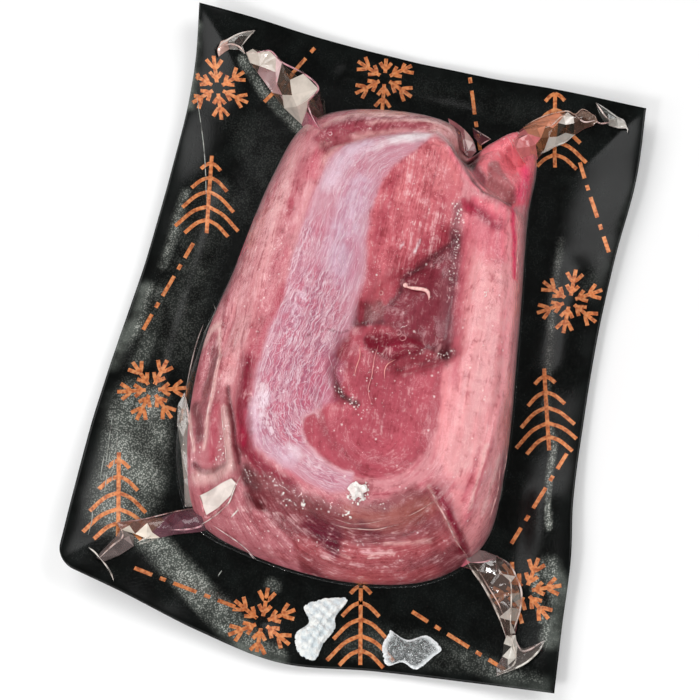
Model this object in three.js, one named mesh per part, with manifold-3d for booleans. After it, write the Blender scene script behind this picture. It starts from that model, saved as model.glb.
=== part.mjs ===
// A vacuum-packed cut of moose tenderloin: a black printed backing film, the meat sealed under its clear
// film with a folded gusset at each corner, and three pieces of frost. Millimetres, +Z up; the origin is
// under the middle of the pack, +X runs across it and +Y along it.
import * as THREE from 'three';
import Module from 'manifold-3d';

const wasm = await Module();
wasm.setup();

// Driving dimensions. The pouch is 250 x 320 mm of film, drawn in along its sides by the vacuum; it lies flat
// over the middle of its width and length, and its edges lift off the table.
const POUCH_WIDTH = 250;
const POUCH_LENGTH = 320;
const FILM_THICKNESS = 0.6;
const GAP = 0.3;
const DEEP = -40;
const SHEET_COLUMNS = 25;
const SHEET_ROWS = 32;
const FLAT_HALF_WIDTH = 0.7;
const FLAT_HALF_LENGTH = 0.84;
const FLAT_SQUARENESS = 5;
const LOCATING_STEPS = 8;
const ROUNDED_CORNER_PULL = 3.5;

// The pouch's corners and the points between them: x, y and how high the edge lifts off the table.
const TOP_LEFT = [-123, 159, 14];
const TOP_RIGHT = [116, 152, 12];
const BOTTOM_RIGHT = [125, -149, 9];
const BOTTOM_LEFT = [-120, -140, 16];
const TOP_EDGE = [TOP_LEFT, [-102, 160, 9], [-58, 157, 5], [-14, 155, 4], [29, 154, 5],
  [71, 154, 8], TOP_RIGHT];
const BOTTOM_EDGE = [BOTTOM_LEFT, [-87, -147, 12], [-46, -157, 8], [-5, -163, 5], [40, -157, 3],
  [90, -152, 5], BOTTOM_RIGHT];
const LEFT_EDGE = [BOTTOM_LEFT, [-121, -110, 13], [-122, -68, 8], [-120, -25, 6], [-117, 18, 6],
  [-116, 62, 7], [-116, 102, 8], [-118, 129, 10], TOP_LEFT];
const RIGHT_EDGE = [BOTTOM_RIGHT, [123, -119, 8], [121, -85, 9], [117, -56, 8], [115, -15, 6], [114, 26, 6],
  [115, 69, 8], [118, 113, 10], TOP_RIGHT];

// Waves that stand in the margins: a path along each, its half width and how far it rises.
const MARGIN_WAVES = [
  { path: [[-98, 60], [-101, 0], [-100, -60]], width: 9, rise: 2.2 },
  { path: [[-60, -140], [-20, -148]], width: 8, rise: 2.4 },
  { path: [[98, 60], [100, 10]], width: 8, rise: 2.2 },
  { path: [[104, -60], [106, -100]], width: 7, rise: 1.8 },
  { path: [[-40, 143], [30, 142]], width: 6, rise: 1.6 },
];

// The meat, 160 x 245 mm and 48 mm high: the outline where it meets the backing, and the outline of its
// crest, where the sides turn over into the top. The top is highest a little nearer than the middle and
// drops towards both ends with the square of the distance.
const MEAT_HEIGHT = 44.5;
const MEAT_END_DROP = 0.00034;
const MEAT_HIGHEST_Y = -12;
const MEAT_WALL = 3;
const MEAT_CENTRE = [4, 0];
const MEAT_FOOT = [[-55, 107], [-34, 120], [8, 125], [25, 120], [32, 108], [42, 118], [55, 128], [66, 116],
  [68, 84], [76, 15], [82, -50], [79, -86], [60, -107], [20, -118], [-32, -115], [-62, -105], [-79, -72],
  [-80, -20], [-73, 20], [-65, 76]];
const MEAT_CREST = [[-33, 84], [-10, 93], [14, 98], [30, 88], [47, 76], [55, 50], [61, 14], [64, -42],
  [59, -68], [40, -78], [8, -82], [-26, -75], [-42, -58], [-46, -20], [-41, 34], [-37, 66]];
const OUTLINE_POINTS = 480;
const MEAT_SPOKES = 108;
const SPOKE_CROWDING = 22;
const TOP_RINGS = 16;
const SIDE_RINGS = 10;
const SHOULDER_ROUND = 2.1;
const SHOULDER_FULL = 1.5;
const RELIEF_ONSET = 2.5;

// Relief of the meat under the film: a path along each form, its half width and how far it stands up (or
// sinks, where negative).
const MEAT_RELIEF = [
  // The hollow in the middle, with the two dark muscle ends that fill it and the creases round them.
  { path: [[12, -8], [20, 8], [28, 30]], width: 20, rise: -9 },
  { path: [[20, 8], [28, 22]], width: 9, rise: 8 },
  { path: [[6, -12], [24, -7]], width: 6.5, rise: 6.5 },
  { path: [[-1, 2], [6, 20], [12, 29], [24, 38], [34, 54]], width: 3, rise: -4.5 },
  { path: [[35, 57], [38, 37], [39, 21], [42, -3]], width: 3, rise: -4.5 },
  { path: [[21, -17], [35, -11], [44, -2]], width: 3.2, rise: -6.5 },
  { path: [[-2, -38], [-9, -25], [-7, -11]], width: 3, rise: -3.5 },
  // The silverskin band round the left and the bottom, and the muscle inside its hook.
  { path: [[4, 92], [-20, 66], [-26, 20], [-30, -30], [-18, -60], [10, -76]], width: 13, rise: 2.2 },
  { path: [[8, -48], [26, -52]], width: 17, rise: 2.4 },
  { path: [[-12, -40], [-4, -56], [14, -67], [34, -66]], width: 3, rise: -1.6 },
  // The upper muscle and the pale band down the right side, with the shallow valley between them.
  { path: [[10, 78], [12, 52]], width: 14, rise: 1.5 },
  { path: [[50, 62], [53, 20], [56, -30], [52, -62]], width: 7, rise: 2.4 },
  { path: [[37, 62], [41, 20], [45, -20], [47, -60]], width: 4, rise: -2.4 },
  // The far end: a step below the crest, the notch, and the lobe drawn out to the corner.
  { path: [[-38, 88], [-14, 101], [14, 107], [26, 102]], width: 4, rise: -4.5 },
  { path: [[30, 99], [42, 87], [56, 80], [66, 80]], width: 5, rise: -9 },
  { path: [[52, 106], [58, 114]], width: 17, rise: -14 },
  { path: [[32, 104], [33, 112]], width: 6, rise: -14 },
  { path: [[14, 105], [28, 92], [42, 79], [54, 73]], width: 4, rise: 2.6 },
  // The left side: the lower lobe of thin meat and juice, and the crease above it.
  { path: [[-68, -10], [-70, -52], [-60, -88]], width: 13, rise: -13 },
  { path: [[-58, -30], [-54, -48], [-46, -64], [-41, -80], [-30, -92]], width: 4, rise: -6 },
  { path: [[-66, -30], [-70, -66]], width: 3.5, rise: 4 },
  { path: [[-45, -78], [-52, -94], [-58, -106]], width: 4.5, rise: 5 },
  // The near side: a crease below the crest over a flatter apron, and the sharp folds of the corner.
  { path: [[-30, -92], [-8, -99], [12, -101], [38, -92], [50, -78]], width: 5, rise: -7 },
  { path: [[-34, -104], [10, -109], [48, -101]], width: 9, rise: -5 },
  { path: [[50, -73], [56, -80], [65, -89], [73, -98]], width: 4, rise: 6.5 },
  { path: [[56, -90], [64, -100]], width: 6, rise: -5 },
  { path: [[73, -22], [70, -60], [67, -82]], width: 2.6, rise: 2 },
  { path: [[79, -34], [77, -70], [73, -90]], width: 2.6, rise: 2 },
];

// The gussets of clear film that run out from the meat's corners. Each station, from the meat outwards, has
// its left foot, its right foot and the height of its ridge over the backing; lean is where the ridge stands
// between the feet.
const TOP_LEFT_GUSSET = { lean: 0.85, stations: [
  [-48, 97, -38, 90, 32], [-56, 107, -50, 111, 23], [-64, 115, -48, 125, 14], [-75, 124, -59, 132, 11],
  [-86, 132, -78, 142, 9], [-94, 138, -91, 143, 6]] };
const TOP_LEFT_TAIL = { lean: 0.5, stations: [
  [-107, 129, -103, 134, 3], [-98, 134, -93, 141, 6], [-96, 143, -90, 143, 6], [-96, 153, -92, 152, 3]] };
const TOP_RIGHT_GUSSET = { lean: 0.5, stations: [
  [48, 120, 62, 104, 22], [58, 131, 71, 112, 18], [66, 138, 77, 120, 14], [74, 143, 85, 127, 12],
  [84, 145, 91, 135, 10], [91, 148, 97, 140, 8]] };
const TOP_RIGHT_TAIL = { lean: 0.5, stations: [
  [87, 150, 90, 145, 3], [92, 147, 96, 139, 7], [106, 146, 106, 141, 3]] };
const BOTTOM_LEFT_GUSSET = { lean: 0.4, stations: [
  [-36, -88, -50, -80, 24], [-46, -98, -58, -92, 16], [-56, -109, -62, -101, 11], [-72, -114, -74, -105, 9],
  [-85, -119, -86, -110, 8], [-93, -123, -96, -114, 7]] };
const BOTTOM_LEFT_TAIL = { lean: 0.5, stations: [
  [-90, -121, -95, -120, 6], [-95, -127, -100, -125, 6], [-96, -133, -101, -131, 5],
  [-89, -139, -91, -141, 3]] };
const BOTTOM_RIGHT_GUSSET = { lean: 0.45, stations: [
  [62, -86, 52, -96, 13], [72, -82, 60, -104, 12], [86, -89, 72, -101, 11], [95, -95, 79, -109, 10],
  [101, -106, 86, -116, 9], [103, -120, 93, -122, 7], [104, -133, 97, -135, 6]] };
const BOTTOM_RIGHT_TAIL = { lean: 0.5, stations: [
  [116, -126, 113, -123, 3], [109, -136, 105, -129, 6], [102, -139, 97, -134, 6], [96, -149, 93, -145, 3]] };
const GUSSETS = [TOP_LEFT_GUSSET, TOP_LEFT_TAIL, TOP_RIGHT_GUSSET, TOP_RIGHT_TAIL,
  BOTTOM_LEFT_GUSSET, BOTTOM_LEFT_TAIL, BOTTOM_RIGHT_GUSSET, BOTTOM_RIGHT_TAIL];
const GUSSET_STEPS = 3;
const GUSSET_SIDES = 6;
const GUSSET_EDGE = 0.9;
const GUSSET_CREST = 0.16;

// Frost: two flakes in the near margin and a lump on the meat. Each has a centre, its outline round it, its
// thickness and how uneven its face is.
const WHITE_FLAKE = { centre: [9, -142], thickness: 3.2, unevenness: 0.8, bottom: DEEP,
  outline: [[9, -128], [20, -126], [16, -136], [17, -141], [13, -150], [11, -158], [3, -157], [-1, -148],
    [4, -141], [0, -134]] };
const CLEAR_FLAKE = { centre: [54, -144], thickness: 2.2, unevenness: 0.5, bottom: DEEP,
  outline: [[43, -136], [52, -139], [61, -135], [69, -140], [66, -144], [59, -152], [52, -150], [45, -153],
    [41, -145]] };
const FROST_LUMP = { centre: [14, -80], thickness: 3.4, unevenness: 0.7, bottom: 20,
  outline: [[10, -77], [15, -75.5], [19, -78], [18, -83], [13, -85], [9.5, -82]] };
const FLAKE_SPOKES = 28;
const FLAKE_RINGS = 5;
const FLAKE_RIM = 0.6;

// A closed mesh as a solid that can be joined and cut.
function solidFrom(geometry) {
  const vertProperties = new Float32Array(geometry.getAttribute('position').array);
  const triVerts = new Uint32Array(geometry.index.array);
  return new wasm.Manifold(new wasm.Mesh({ numProp: 3, vertProperties, triVerts }));
}

// A solid as a geometry again.
function geometryFrom(solid) {
  const { vertProperties, triVerts } = solid.getMesh();
  return indexedGeometry(vertProperties, triVerts);
}

// A geometry from flat lists of coordinates and corner numbers.
function indexedGeometry(positions, indices) {
  const geometry = new THREE.BufferGeometry();
  geometry.setAttribute('position', new THREE.Float32BufferAttribute(positions, 3));
  geometry.setIndex(Array.from(indices));
  return geometry;
}

// A smooth curve through points of two or three coordinates.
function smoothCurve(points, closed = false) {
  const knots = points.map(([x, y, z = 0]) => new THREE.Vector3(x, y, z));
  return new THREE.CatmullRomCurve3(knots, closed, 'centripetal');
}

// The distance from a point to the nearest place on a path.
function distanceToPath(x, y, path) {
  let nearest = Infinity;
  for (let i = 0; i + 1 < path.length; i += 1) {
    const [ax, ay] = path[i];
    const [bx, by] = path[i + 1];
    const dx = bx - ax;
    const dy = by - ay;
    const along = THREE.MathUtils.clamp(((x - ax) * dx + (y - ay) * dy) / (dx * dx + dy * dy), 0, 1);
    nearest = Math.min(nearest, Math.hypot(x - ax - along * dx, y - ay - along * dy));
  }
  return nearest;
}

// The sum of all rounded forms of a list at a point.
function reliefAt(x, y, forms) {
  let height = 0;
  for (const { path, width, rise } of forms) {
    const away = distanceToPath(x, y, path) / width;
    height += rise * Math.exp(-away * away);
  }
  return height;
}

const topCurve = smoothCurve(TOP_EDGE);
const bottomCurve = smoothCurve(BOTTOM_EDGE);
const leftCurve = smoothCurve(LEFT_EDGE);
const rightCurve = smoothCurve(RIGHT_EDGE);

// The surface that spans the pouch's four edges, with u across and v along, both from 0 to 1.
function spannedPoint(u, v) {
  const corners = new THREE.Vector3()
    .addScaledVector(new THREE.Vector3(...BOTTOM_LEFT), (1 - u) * (1 - v))
    .addScaledVector(new THREE.Vector3(...BOTTOM_RIGHT), u * (1 - v))
    .addScaledVector(new THREE.Vector3(...TOP_LEFT), (1 - u) * v)
    .addScaledVector(new THREE.Vector3(...TOP_RIGHT), u * v);
  return new THREE.Vector3()
    .addScaledVector(bottomCurve.getPointAt(u), 1 - v)
    .addScaledVector(topCurve.getPointAt(u), v)
    .addScaledVector(leftCurve.getPointAt(v), 1 - u)
    .addScaledVector(rightCurve.getPointAt(v), u)
    .sub(corners);
}

// How far out of the flat middle a place is: 0 where the pouch lies on the table, 1 at its edge.
function marginAt(u, v) {
  const across = Math.abs(2 * u - 1);
  const along = Math.abs(2 * v - 1);
  const scaled = Math.pow(
    Math.pow(across / FLAT_HALF_WIDTH, FLAT_SQUARENESS) + Math.pow(along / FLAT_HALF_LENGTH, FLAT_SQUARENESS),
    1 / FLAT_SQUARENESS,
  );
  if (scaled <= 1) return 0;
  const atEdge = scaled / Math.max(across, along);
  return (scaled - 1) / (atEdge - 1);
}

// A point on the underside of the backing.
function backingPoint(u, v) {
  const point = spannedPoint(u, v);
  const margin = marginAt(u, v);
  const eased = THREE.MathUtils.smoothstep(margin, 0, 1);
  const waves = reliefAt(point.x, point.y, MARGIN_WAVES) * Math.min(1, 3 * margin) * (1 - margin ** 2);
  point.z = Math.max(0, point.z * eased + waves);
  if (u === 0 && v === 0) {
    point.x += ROUNDED_CORNER_PULL;
    point.y += ROUNDED_CORNER_PULL;
  }
  return point;
}

// The height of the backing's upper face under a point of the pack.
function backingTopAt(x, y) {
  let u = 0.5;
  let v = 0.5;
  for (let step = 0; step < LOCATING_STEPS; step += 1) {
    const point = spannedPoint(u, v);
    u = THREE.MathUtils.clamp(u + (x - point.x) / POUCH_WIDTH, 0, 1);
    v = THREE.MathUtils.clamp(v + (y - point.y) / POUCH_LENGTH, 0, 1);
  }
  return backingPoint(u, v).z + FILM_THICKNESS;
}

// The closed layer between two heights over the backing's underside.
function backingLayer(lower, upper) {
  const positions = [];
  const indices = [];
  const across = SHEET_COLUMNS + 1;
  const face = across * (SHEET_ROWS + 1);
  for (const lift of [upper, lower]) {
    for (let row = 0; row <= SHEET_ROWS; row += 1) {
      for (let column = 0; column <= SHEET_COLUMNS; column += 1) {
        const point = backingPoint(column / SHEET_COLUMNS, row / SHEET_ROWS);
        positions.push(point.x, point.y, point.z + lift);
      }
    }
  }
  for (let row = 0; row < SHEET_ROWS; row += 1) {
    for (let column = 0; column < SHEET_COLUMNS; column += 1) {
      const a = row * across + column;
      const b = a + 1;
      const c = a + across;
      const d = c + 1;
      indices.push(a, b, d, a, d, c);
      indices.push(face + a, face + d, face + b, face + a, face + c, face + d);
    }
  }
  const wall = (from, to) => indices.push(from, to + face, to, from, from + face, to + face);
  for (let column = 0; column < SHEET_COLUMNS; column += 1) {
    wall(column, column + 1);
    wall(SHEET_ROWS * across + column + 1, SHEET_ROWS * across + column);
  }
  for (let row = 0; row < SHEET_ROWS; row += 1) {
    wall((row + 1) * across, row * across);
    wall(row * across + SHEET_COLUMNS, (row + 1) * across + SHEET_COLUMNS);
  }
  return indexedGeometry(positions, indices);
}

// Directions from a centre to an outline, in even steps along it but closer where it turns.
function spokeAngles(outline, [cx, cy], count, crowding) {
  const points = smoothCurve(outline, true).getSpacedPoints(2 * OUTLINE_POINTS);
  const lengths = [0];
  for (let i = 1; i < points.length; i += 1) {
    const before = points[i].clone().sub(points[i - 1]);
    const after = points[(i % (points.length - 1)) + 1].clone().sub(points[i]);
    lengths.push(lengths[i - 1] + before.length() + crowding * before.angleTo(after));
  }
  const angles = [];
  let i = 0;
  for (let spoke = 0; spoke < count; spoke += 1) {
    while (lengths[i + 1] < (spoke * lengths[lengths.length - 1]) / count) i += 1;
    angles.push(Math.atan2(points[i].y - cy, points[i].x - cx));
  }
  const turn = Math.sign(angleBetween(angles[0], angles[1]));
  return turn > 0 ? angles : angles.reverse();
}

// How far an outline reaches from a centre in a given direction.
function outlineReach(outline, [cx, cy]) {
  const points = smoothCurve(outline, true).getSpacedPoints(OUTLINE_POINTS);
  const turns = points.map((point) => Math.atan2(point.y - cy, point.x - cx));
  const reaches = points.map((point) => Math.hypot(point.x - cx, point.y - cy));
  return (angle) => {
    for (let i = 0; i + 1 < points.length; i += 1) {
      const span = angleBetween(turns[i], turns[i + 1]);
      const offset = angleBetween(turns[i], angle);
      if (span !== 0 && offset / span >= 0 && offset / span <= 1) {
        return THREE.MathUtils.lerp(reaches[i], reaches[i + 1], offset / span);
      }
    }
    return reaches[0];
  };
}

// The signed turn from one direction to another, at most half a turn.
function angleBetween(from, to) {
  return Math.atan2(Math.sin(to - from), Math.cos(to - from));
}

// A closed body of rings round a centre, its upper face at the heights given and its lower face level.
function ringedBody({ centre: [cx, cy], angles, rings, reachAt, heightAt, bottom }) {
  const positions = [cx, cy, heightAt(cx, cy)];
  const indices = [];
  const spokes = angles.length;
  for (let ring = 1; ring <= rings + 1; ring += 1) {
    for (const angle of angles) {
      const reach = reachAt(angle, Math.min(ring, rings));
      const x = cx + reach * Math.cos(angle);
      const y = cy + reach * Math.sin(angle);
      positions.push(x, y, ring > rings ? bottom : heightAt(x, y));
    }
  }
  const lowest = positions.length / 3;
  positions.push(cx, cy, bottom);
  const vertex = (ring, spoke) => 1 + (ring - 1) * spokes + (spoke % spokes);
  for (let spoke = 0; spoke < spokes; spoke += 1) {
    indices.push(0, vertex(1, spoke), vertex(1, spoke + 1));
    for (let ring = 1; ring <= rings; ring += 1) {
      const inner = vertex(ring, spoke);
      const innerNext = vertex(ring, spoke + 1);
      const outer = vertex(ring + 1, spoke);
      const outerNext = vertex(ring + 1, spoke + 1);
      indices.push(inner, outer, outerNext, inner, outerNext, innerNext);
    }
    indices.push(lowest, vertex(rings + 1, spoke + 1), vertex(rings + 1, spoke));
  }
  return indexedGeometry(positions, indices);
}

const footReach = outlineReach(MEAT_FOOT, MEAT_CENTRE);
const crestReach = outlineReach(MEAT_CREST, MEAT_CENTRE);

// The height of the meat under its film: a rounded shoulder from the foot up to the crest, a top that drops
// a little towards both ends, and the relief.
function meatHeightAt(x, y) {
  const [cx, cy] = MEAT_CENTRE;
  const angle = Math.atan2(y - cy, x - cx);
  const reach = Math.hypot(x - cx, y - cy);
  const foot = footReach(angle);
  const crest = crestReach(angle);
  const inward = THREE.MathUtils.clamp((foot - reach) / (foot - crest), 0, 1);
  const shoulder = Math.pow(1 - Math.pow(1 - inward, SHOULDER_ROUND), 1 / SHOULDER_FULL);
  const top = MEAT_HEIGHT - MEAT_END_DROP * (y - MEAT_HIGHEST_Y) ** 2;
  const relief = reliefAt(x, y, MEAT_RELIEF) * Math.min(1, RELIEF_ONSET * inward);
  return Math.max(MEAT_WALL, MEAT_WALL + (top - MEAT_WALL) * shoulder + relief);
}

// The meat in its film, without the gussets.
function meatBody() {
  const rings = TOP_RINGS + SIDE_RINGS;
  const reachAt = (angle, ring) => {
    if (ring <= TOP_RINGS) return (crestReach(angle) * ring) / TOP_RINGS;
    return THREE.MathUtils.lerp(crestReach(angle), footReach(angle), (ring - TOP_RINGS) / SIDE_RINGS);
  };
  const angles = spokeAngles(MEAT_FOOT, MEAT_CENTRE, MEAT_SPOKES, SPOKE_CROWDING);
  return ringedBody({ centre: MEAT_CENTRE, angles, rings, reachAt, heightAt: meatHeightAt, bottom: DEEP });
}

// One gusset: a ridge of film drawn through its stations, standing deep enough to be cut to the backing.
function gussetBody({ lean, stations }) {
  const left = smoothCurve(stations.map(([x, y]) => [x, y]));
  const right = smoothCurve(stations.map(([, , x, y]) => [x, y]));
  const rise = smoothCurve(stations.map(([, , , , height], i) => [i, height]));
  const sections = (stations.length - 1) * GUSSET_STEPS;
  const positions = [];
  for (let section = 0; section <= sections; section += 1) {
    const along = section / sections;
    const a = left.getPoint(along);
    const b = right.getPoint(along);
    const height = rise.getPoint(along).y;
    const place = (across, lift) => {
      const x = THREE.MathUtils.lerp(a.x, b.x, across);
      const y = THREE.MathUtils.lerp(a.y, b.y, across);
      positions.push(x, y, lift === DEEP ? DEEP : backingTopAt(x, y) + lift);
    };
    place(0, DEEP);
    place(0, GUSSET_EDGE);
    place(lean - GUSSET_CREST, height);
    place(lean + GUSSET_CREST * (1 - lean), height);
    place(1, GUSSET_EDGE);
    place(1, DEEP);
  }
  return loftedBody(positions, GUSSET_SIDES, sections);
}

// A closed body through equal polygons, one after another, closed by a fan at each end.
function loftedBody(positions, sides, sections) {
  const indices = [];
  for (let section = 0; section < sections; section += 1) {
    for (let side = 0; side < sides; side += 1) {
      const a = section * sides + side;
      const b = section * sides + ((side + 1) % sides);
      indices.push(a, b, b + sides, a, b + sides, a + sides);
    }
  }
  const last = sections * sides;
  for (let side = 1; side + 1 < sides; side += 1) {
    indices.push(0, side + 1, side);
    indices.push(last, last + side, last + side + 1);
  }
  return indexedGeometry(positions, indices);
}

// A solid whose faces point out, whichever way its sections ran.
function outwardSolid(geometry) {
  const solid = solidFrom(geometry);
  if (solid.volume() > 0) return solid;
  const turned = Array.from(geometry.index.array);
  for (let i = 0; i < turned.length; i += 3) {
    [turned[i + 1], turned[i + 2]] = [turned[i + 2], turned[i + 1]];
  }
  geometry.setIndex(turned);
  return solidFrom(geometry);
}

// A frost piece that follows what it lies on, thin and ragged at its rim and uneven on its face.
function frostBody({ centre, outline, thickness, unevenness, bottom }, groundAt) {
  const reach = outlineReach(outline, centre);
  const reachAt = (angle, ring) => (reach(angle) * ring) / FLAKE_RINGS;
  const heightAt = (x, y) => {
    const angle = Math.atan2(y - centre[1], x - centre[0]);
    const out = Math.min(1, Math.hypot(x - centre[0], y - centre[1]) / reach(angle));
    const bumps = Math.sin(1.3 * x + 0.4 * y) * Math.sin(1.1 * y - 0.5 * x) * unevenness;
    const fall = Math.sqrt(1 - 0.85 * out * out) * (1 - 0.35 * out);
    return groundAt(x, y) + GAP + FLAKE_RIM + (thickness + bumps) * fall;
  };
  const angles = spokeAngles(outline, centre, FLAKE_SPOKES, 0);
  return ringedBody({ centre, angles, rings: FLAKE_RINGS, reachAt, heightAt, bottom });
}

// A named mesh with its own finish.
function piece(name, geometry, color, roughness) {
  const material = new THREE.MeshStandardMaterial({ color, roughness, metalness: 0 });
  const mesh = new THREE.Mesh(geometry, material);
  mesh.name = name;
  return mesh;
}

// The meat and its gussets as one closed form, cut to the backing below it.
function meatInFilm(ground) {
  let form = solidFrom(meatBody());
  for (const gusset of GUSSETS) form = form.add(outwardSolid(gussetBody(gusset)));
  return form.subtract(ground);
}

const ground = solidFrom(backingLayer(2 * DEEP, FILM_THICKNESS + GAP));
const meat = meatInFilm(ground);
const lumpGround = solidFrom(geometryFrom(meat).translate(0, 0, GAP));

const pack = new THREE.Group();
const backing = backingLayer(0, FILM_THICKNESS);
pack.add(piece('backing_film', backing, 0x1c1d1c, 0.3));
pack.add(piece('meat_in_clear_film', geometryFrom(meat), 0xc9737f, 0.25));
pack.add(piece('frost_flake_white',
  geometryFrom(solidFrom(frostBody(WHITE_FLAKE, backingTopAt)).subtract(ground)), 0xeeeeea, 0.6));
pack.add(piece('frost_flake_clear',
  geometryFrom(solidFrom(frostBody(CLEAR_FLAKE, backingTopAt)).subtract(ground)), 0xc9cfcf, 0.2));
pack.add(piece('frost_lump',
  geometryFrom(solidFrom(frostBody(FROST_LUMP, meatHeightAt)).subtract(lumpGround)), 0xf2eeec, 0.5));

// The origin goes under the middle of the whole pack.
backing.computeBoundingBox();
const middle = backing.boundingBox.getCenter(new THREE.Vector3());
pack.position.set(-middle.x, -middle.y, 0);

export default pack;
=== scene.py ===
"""The looks of a vacuum-packed moose tenderloin: a cut of meat under clear film on a black printed backing.

A size is in millimetres, in the drawing's own frame, unless its name says otherwise. POUCH_MIDDLE is the
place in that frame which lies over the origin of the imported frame. A path is written as places parted by
spaces, each with its two or three coordinates parted by commas.
"""

import logging
import math
from dataclasses import dataclass
from enum import Enum
from typing import Sequence

import bpy
import numpy as np
from mathutils import Matrix, Vector
from mathutils.geometry import delaunay_2d_cdt


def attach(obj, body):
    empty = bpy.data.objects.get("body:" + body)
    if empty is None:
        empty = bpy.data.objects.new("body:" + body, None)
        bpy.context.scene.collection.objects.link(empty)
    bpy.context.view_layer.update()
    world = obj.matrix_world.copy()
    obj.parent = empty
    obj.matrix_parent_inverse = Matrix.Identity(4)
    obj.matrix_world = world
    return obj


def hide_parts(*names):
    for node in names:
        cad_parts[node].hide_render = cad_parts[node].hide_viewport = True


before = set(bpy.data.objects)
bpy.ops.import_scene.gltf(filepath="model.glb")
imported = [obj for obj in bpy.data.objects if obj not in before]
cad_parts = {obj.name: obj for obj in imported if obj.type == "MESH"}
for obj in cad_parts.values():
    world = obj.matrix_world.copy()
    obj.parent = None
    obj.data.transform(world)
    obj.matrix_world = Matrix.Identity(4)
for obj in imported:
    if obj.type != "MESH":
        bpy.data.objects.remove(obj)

LOG = logging.getLogger("moose_tenderloin")
MM = 0.001
POUCH_MIDDLE = (1.0, -1.4946)
BODY = "root"
FILM_CREASES = 0.9

Array = np.ndarray
Place = tuple[float, float]
Path = str | Array
Colour = tuple[int, int, int]
Faces = list[tuple[int, ...]]
Strokes = Sequence[tuple[Path, float, float, float]]
Node = bpy.types.Node
Socket = bpy.types.NodeSocket
Thing = bpy.types.Object
Finish = bpy.types.Material


class Tone(Enum):
    """The colours of the meat, among them painted shade and painted highlights, each as red, green and blue
    of 255.
    """

    SILVERSKIN = (197, 141, 155)
    SILVERSKIN_LILAC = (206, 172, 192)
    SILVERSKIN_PALE = (217, 188, 204)
    # The silverskin's white, and also two painted glints on the upper muscle.
    SILVERSKIN_WHITE = (250, 238, 242)
    SILVERSKIN_PINK = (184, 90, 114)
    SILVERSKIN_MAUVE = (164, 90, 114)
    HOOK_LINE = (232, 190, 198)
    UPPER_MUSCLE = (200, 102, 112)
    UPPER_MUSCLE_PALE = (216, 128, 132)
    # Darker muscle, and also painted shade along the upper muscle's lower edge over the recess.
    UPPER_MUSCLE_DARK = (164, 60, 76)
    HOOK_MUSCLE = (174, 77, 91)
    HOOK_MUSCLE_PINK = (190, 88, 102)
    HOOK_MUSCLE_DARK = (142, 52, 66)
    HIGH_LUMP = (130, 48, 62)
    HIGH_LUMP_GREY = (146, 86, 96)
    LOW_LUMP = (124, 20, 44)
    LOW_LUMP_PALE = (166, 72, 84)
    # Painted shade in the meat's crevices.
    CREVICE_SHADE = (78, 42, 46)
    # Dark red painted shade along creases, and under the upper muscle's lower edge.
    CREVICE_SHADE_RED = (92, 30, 42)
    # Painted shade over the hollow between the muscles.
    RECESS_SHADE = (116, 56, 66)
    SEAM = (118, 70, 80)
    MEMBRANE = (138, 80, 84)
    BAND_TOP = (206, 106, 120)
    BAND = (226, 143, 149)
    BAND_PATCH = (146, 44, 66)
    BAND_RED = (188, 80, 98)
    # Painted shine: a broad soft reflection on the band.
    BAND_PALE = (230, 170, 172)
    BAND_PINK = (232, 112, 130)
    # Painted light that brightens the meat's right edge, where it faces away from the lamps.
    EDGE_PALE = (255, 166, 172)
    EDGE_MAUVE = (170, 100, 106)
    HOT_PINK = (240, 42, 98)
    KNOT_RED = (164, 28, 64)
    LOBE = (240, 120, 132)
    LOBE_BROWN = (130, 66, 76)
    LOBE_PATCH = (172, 100, 104)
    LOBE_HOT = (246, 70, 116)
    TOP_BULGE = (208, 150, 150)
    # Painted highlights: thin pale lines along folds of the top bulge.
    TOP_BULGE_PALE = (226, 176, 172)
    TOP_BULGE_RED = (148, 52, 70)
    TOP_BULGE_BROWN = (140, 86, 86)
    SLOPE = (210, 138, 145)
    SLOPE_RED = (176, 70, 88)
    # Painted shine: broad soft reflections on the left slopes.
    SLOPE_PALE = (228, 168, 170)
    SLOPE_EDGE = (142, 86, 92)
    BLUSH = (192, 62, 88)
    LEFT_LOBE = (184, 108, 116)
    LEFT_LOBE_MAUVE = (144, 84, 91)
    LEFT_LOBE_DARK = (112, 58, 64)
    # Painted highlights along folds of the film over the lobes.
    LEFT_LOBE_PALE = (228, 186, 182)
    LEFT_LOBE_GREY = (210, 165, 163)
    CRIMSON = (132, 14, 48)
    # Painted shade in the hollow where two deep creases meet at the near left.
    POCKET_SHADE = (90, 40, 44)
    FRONT = (140, 66, 74)
    FRONT_PINK = (186, 92, 98)
    FRONT_DARK = (104, 6, 42)
    FRONT_BROWN = (122, 58, 62)
    FRONT_TAN = (178, 104, 98)
    # Painted highlights: pale lines and spots on folds at the front.
    FRONT_PALE = (224, 172, 168)
    # Painted shade in the deep notch beside the far right lobe.
    NOTCH_SHADE = (46, 16, 22)


def light_of(colour: Sequence[float]) -> tuple[float, float, float]:
    """A screen colour of 255 as light, each part from 0 to 1."""
    return tuple(float(part) for part in (np.array(colour, float) / 255) ** 2.2)


def ramp(value: Array, low: float, high: float) -> Array:
    """How far a value is from low to high, eased, from 0 to 1."""
    share = np.clip((value - low) / (high - low), 0, 1)
    return share * share * (3 - 2 * share)


def places(path: Path | Sequence) -> Array:
    """The places of a path, one to a row."""
    return np.array([place.split(",") for place in path.split()] if isinstance(path, str) else path, float)


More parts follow.
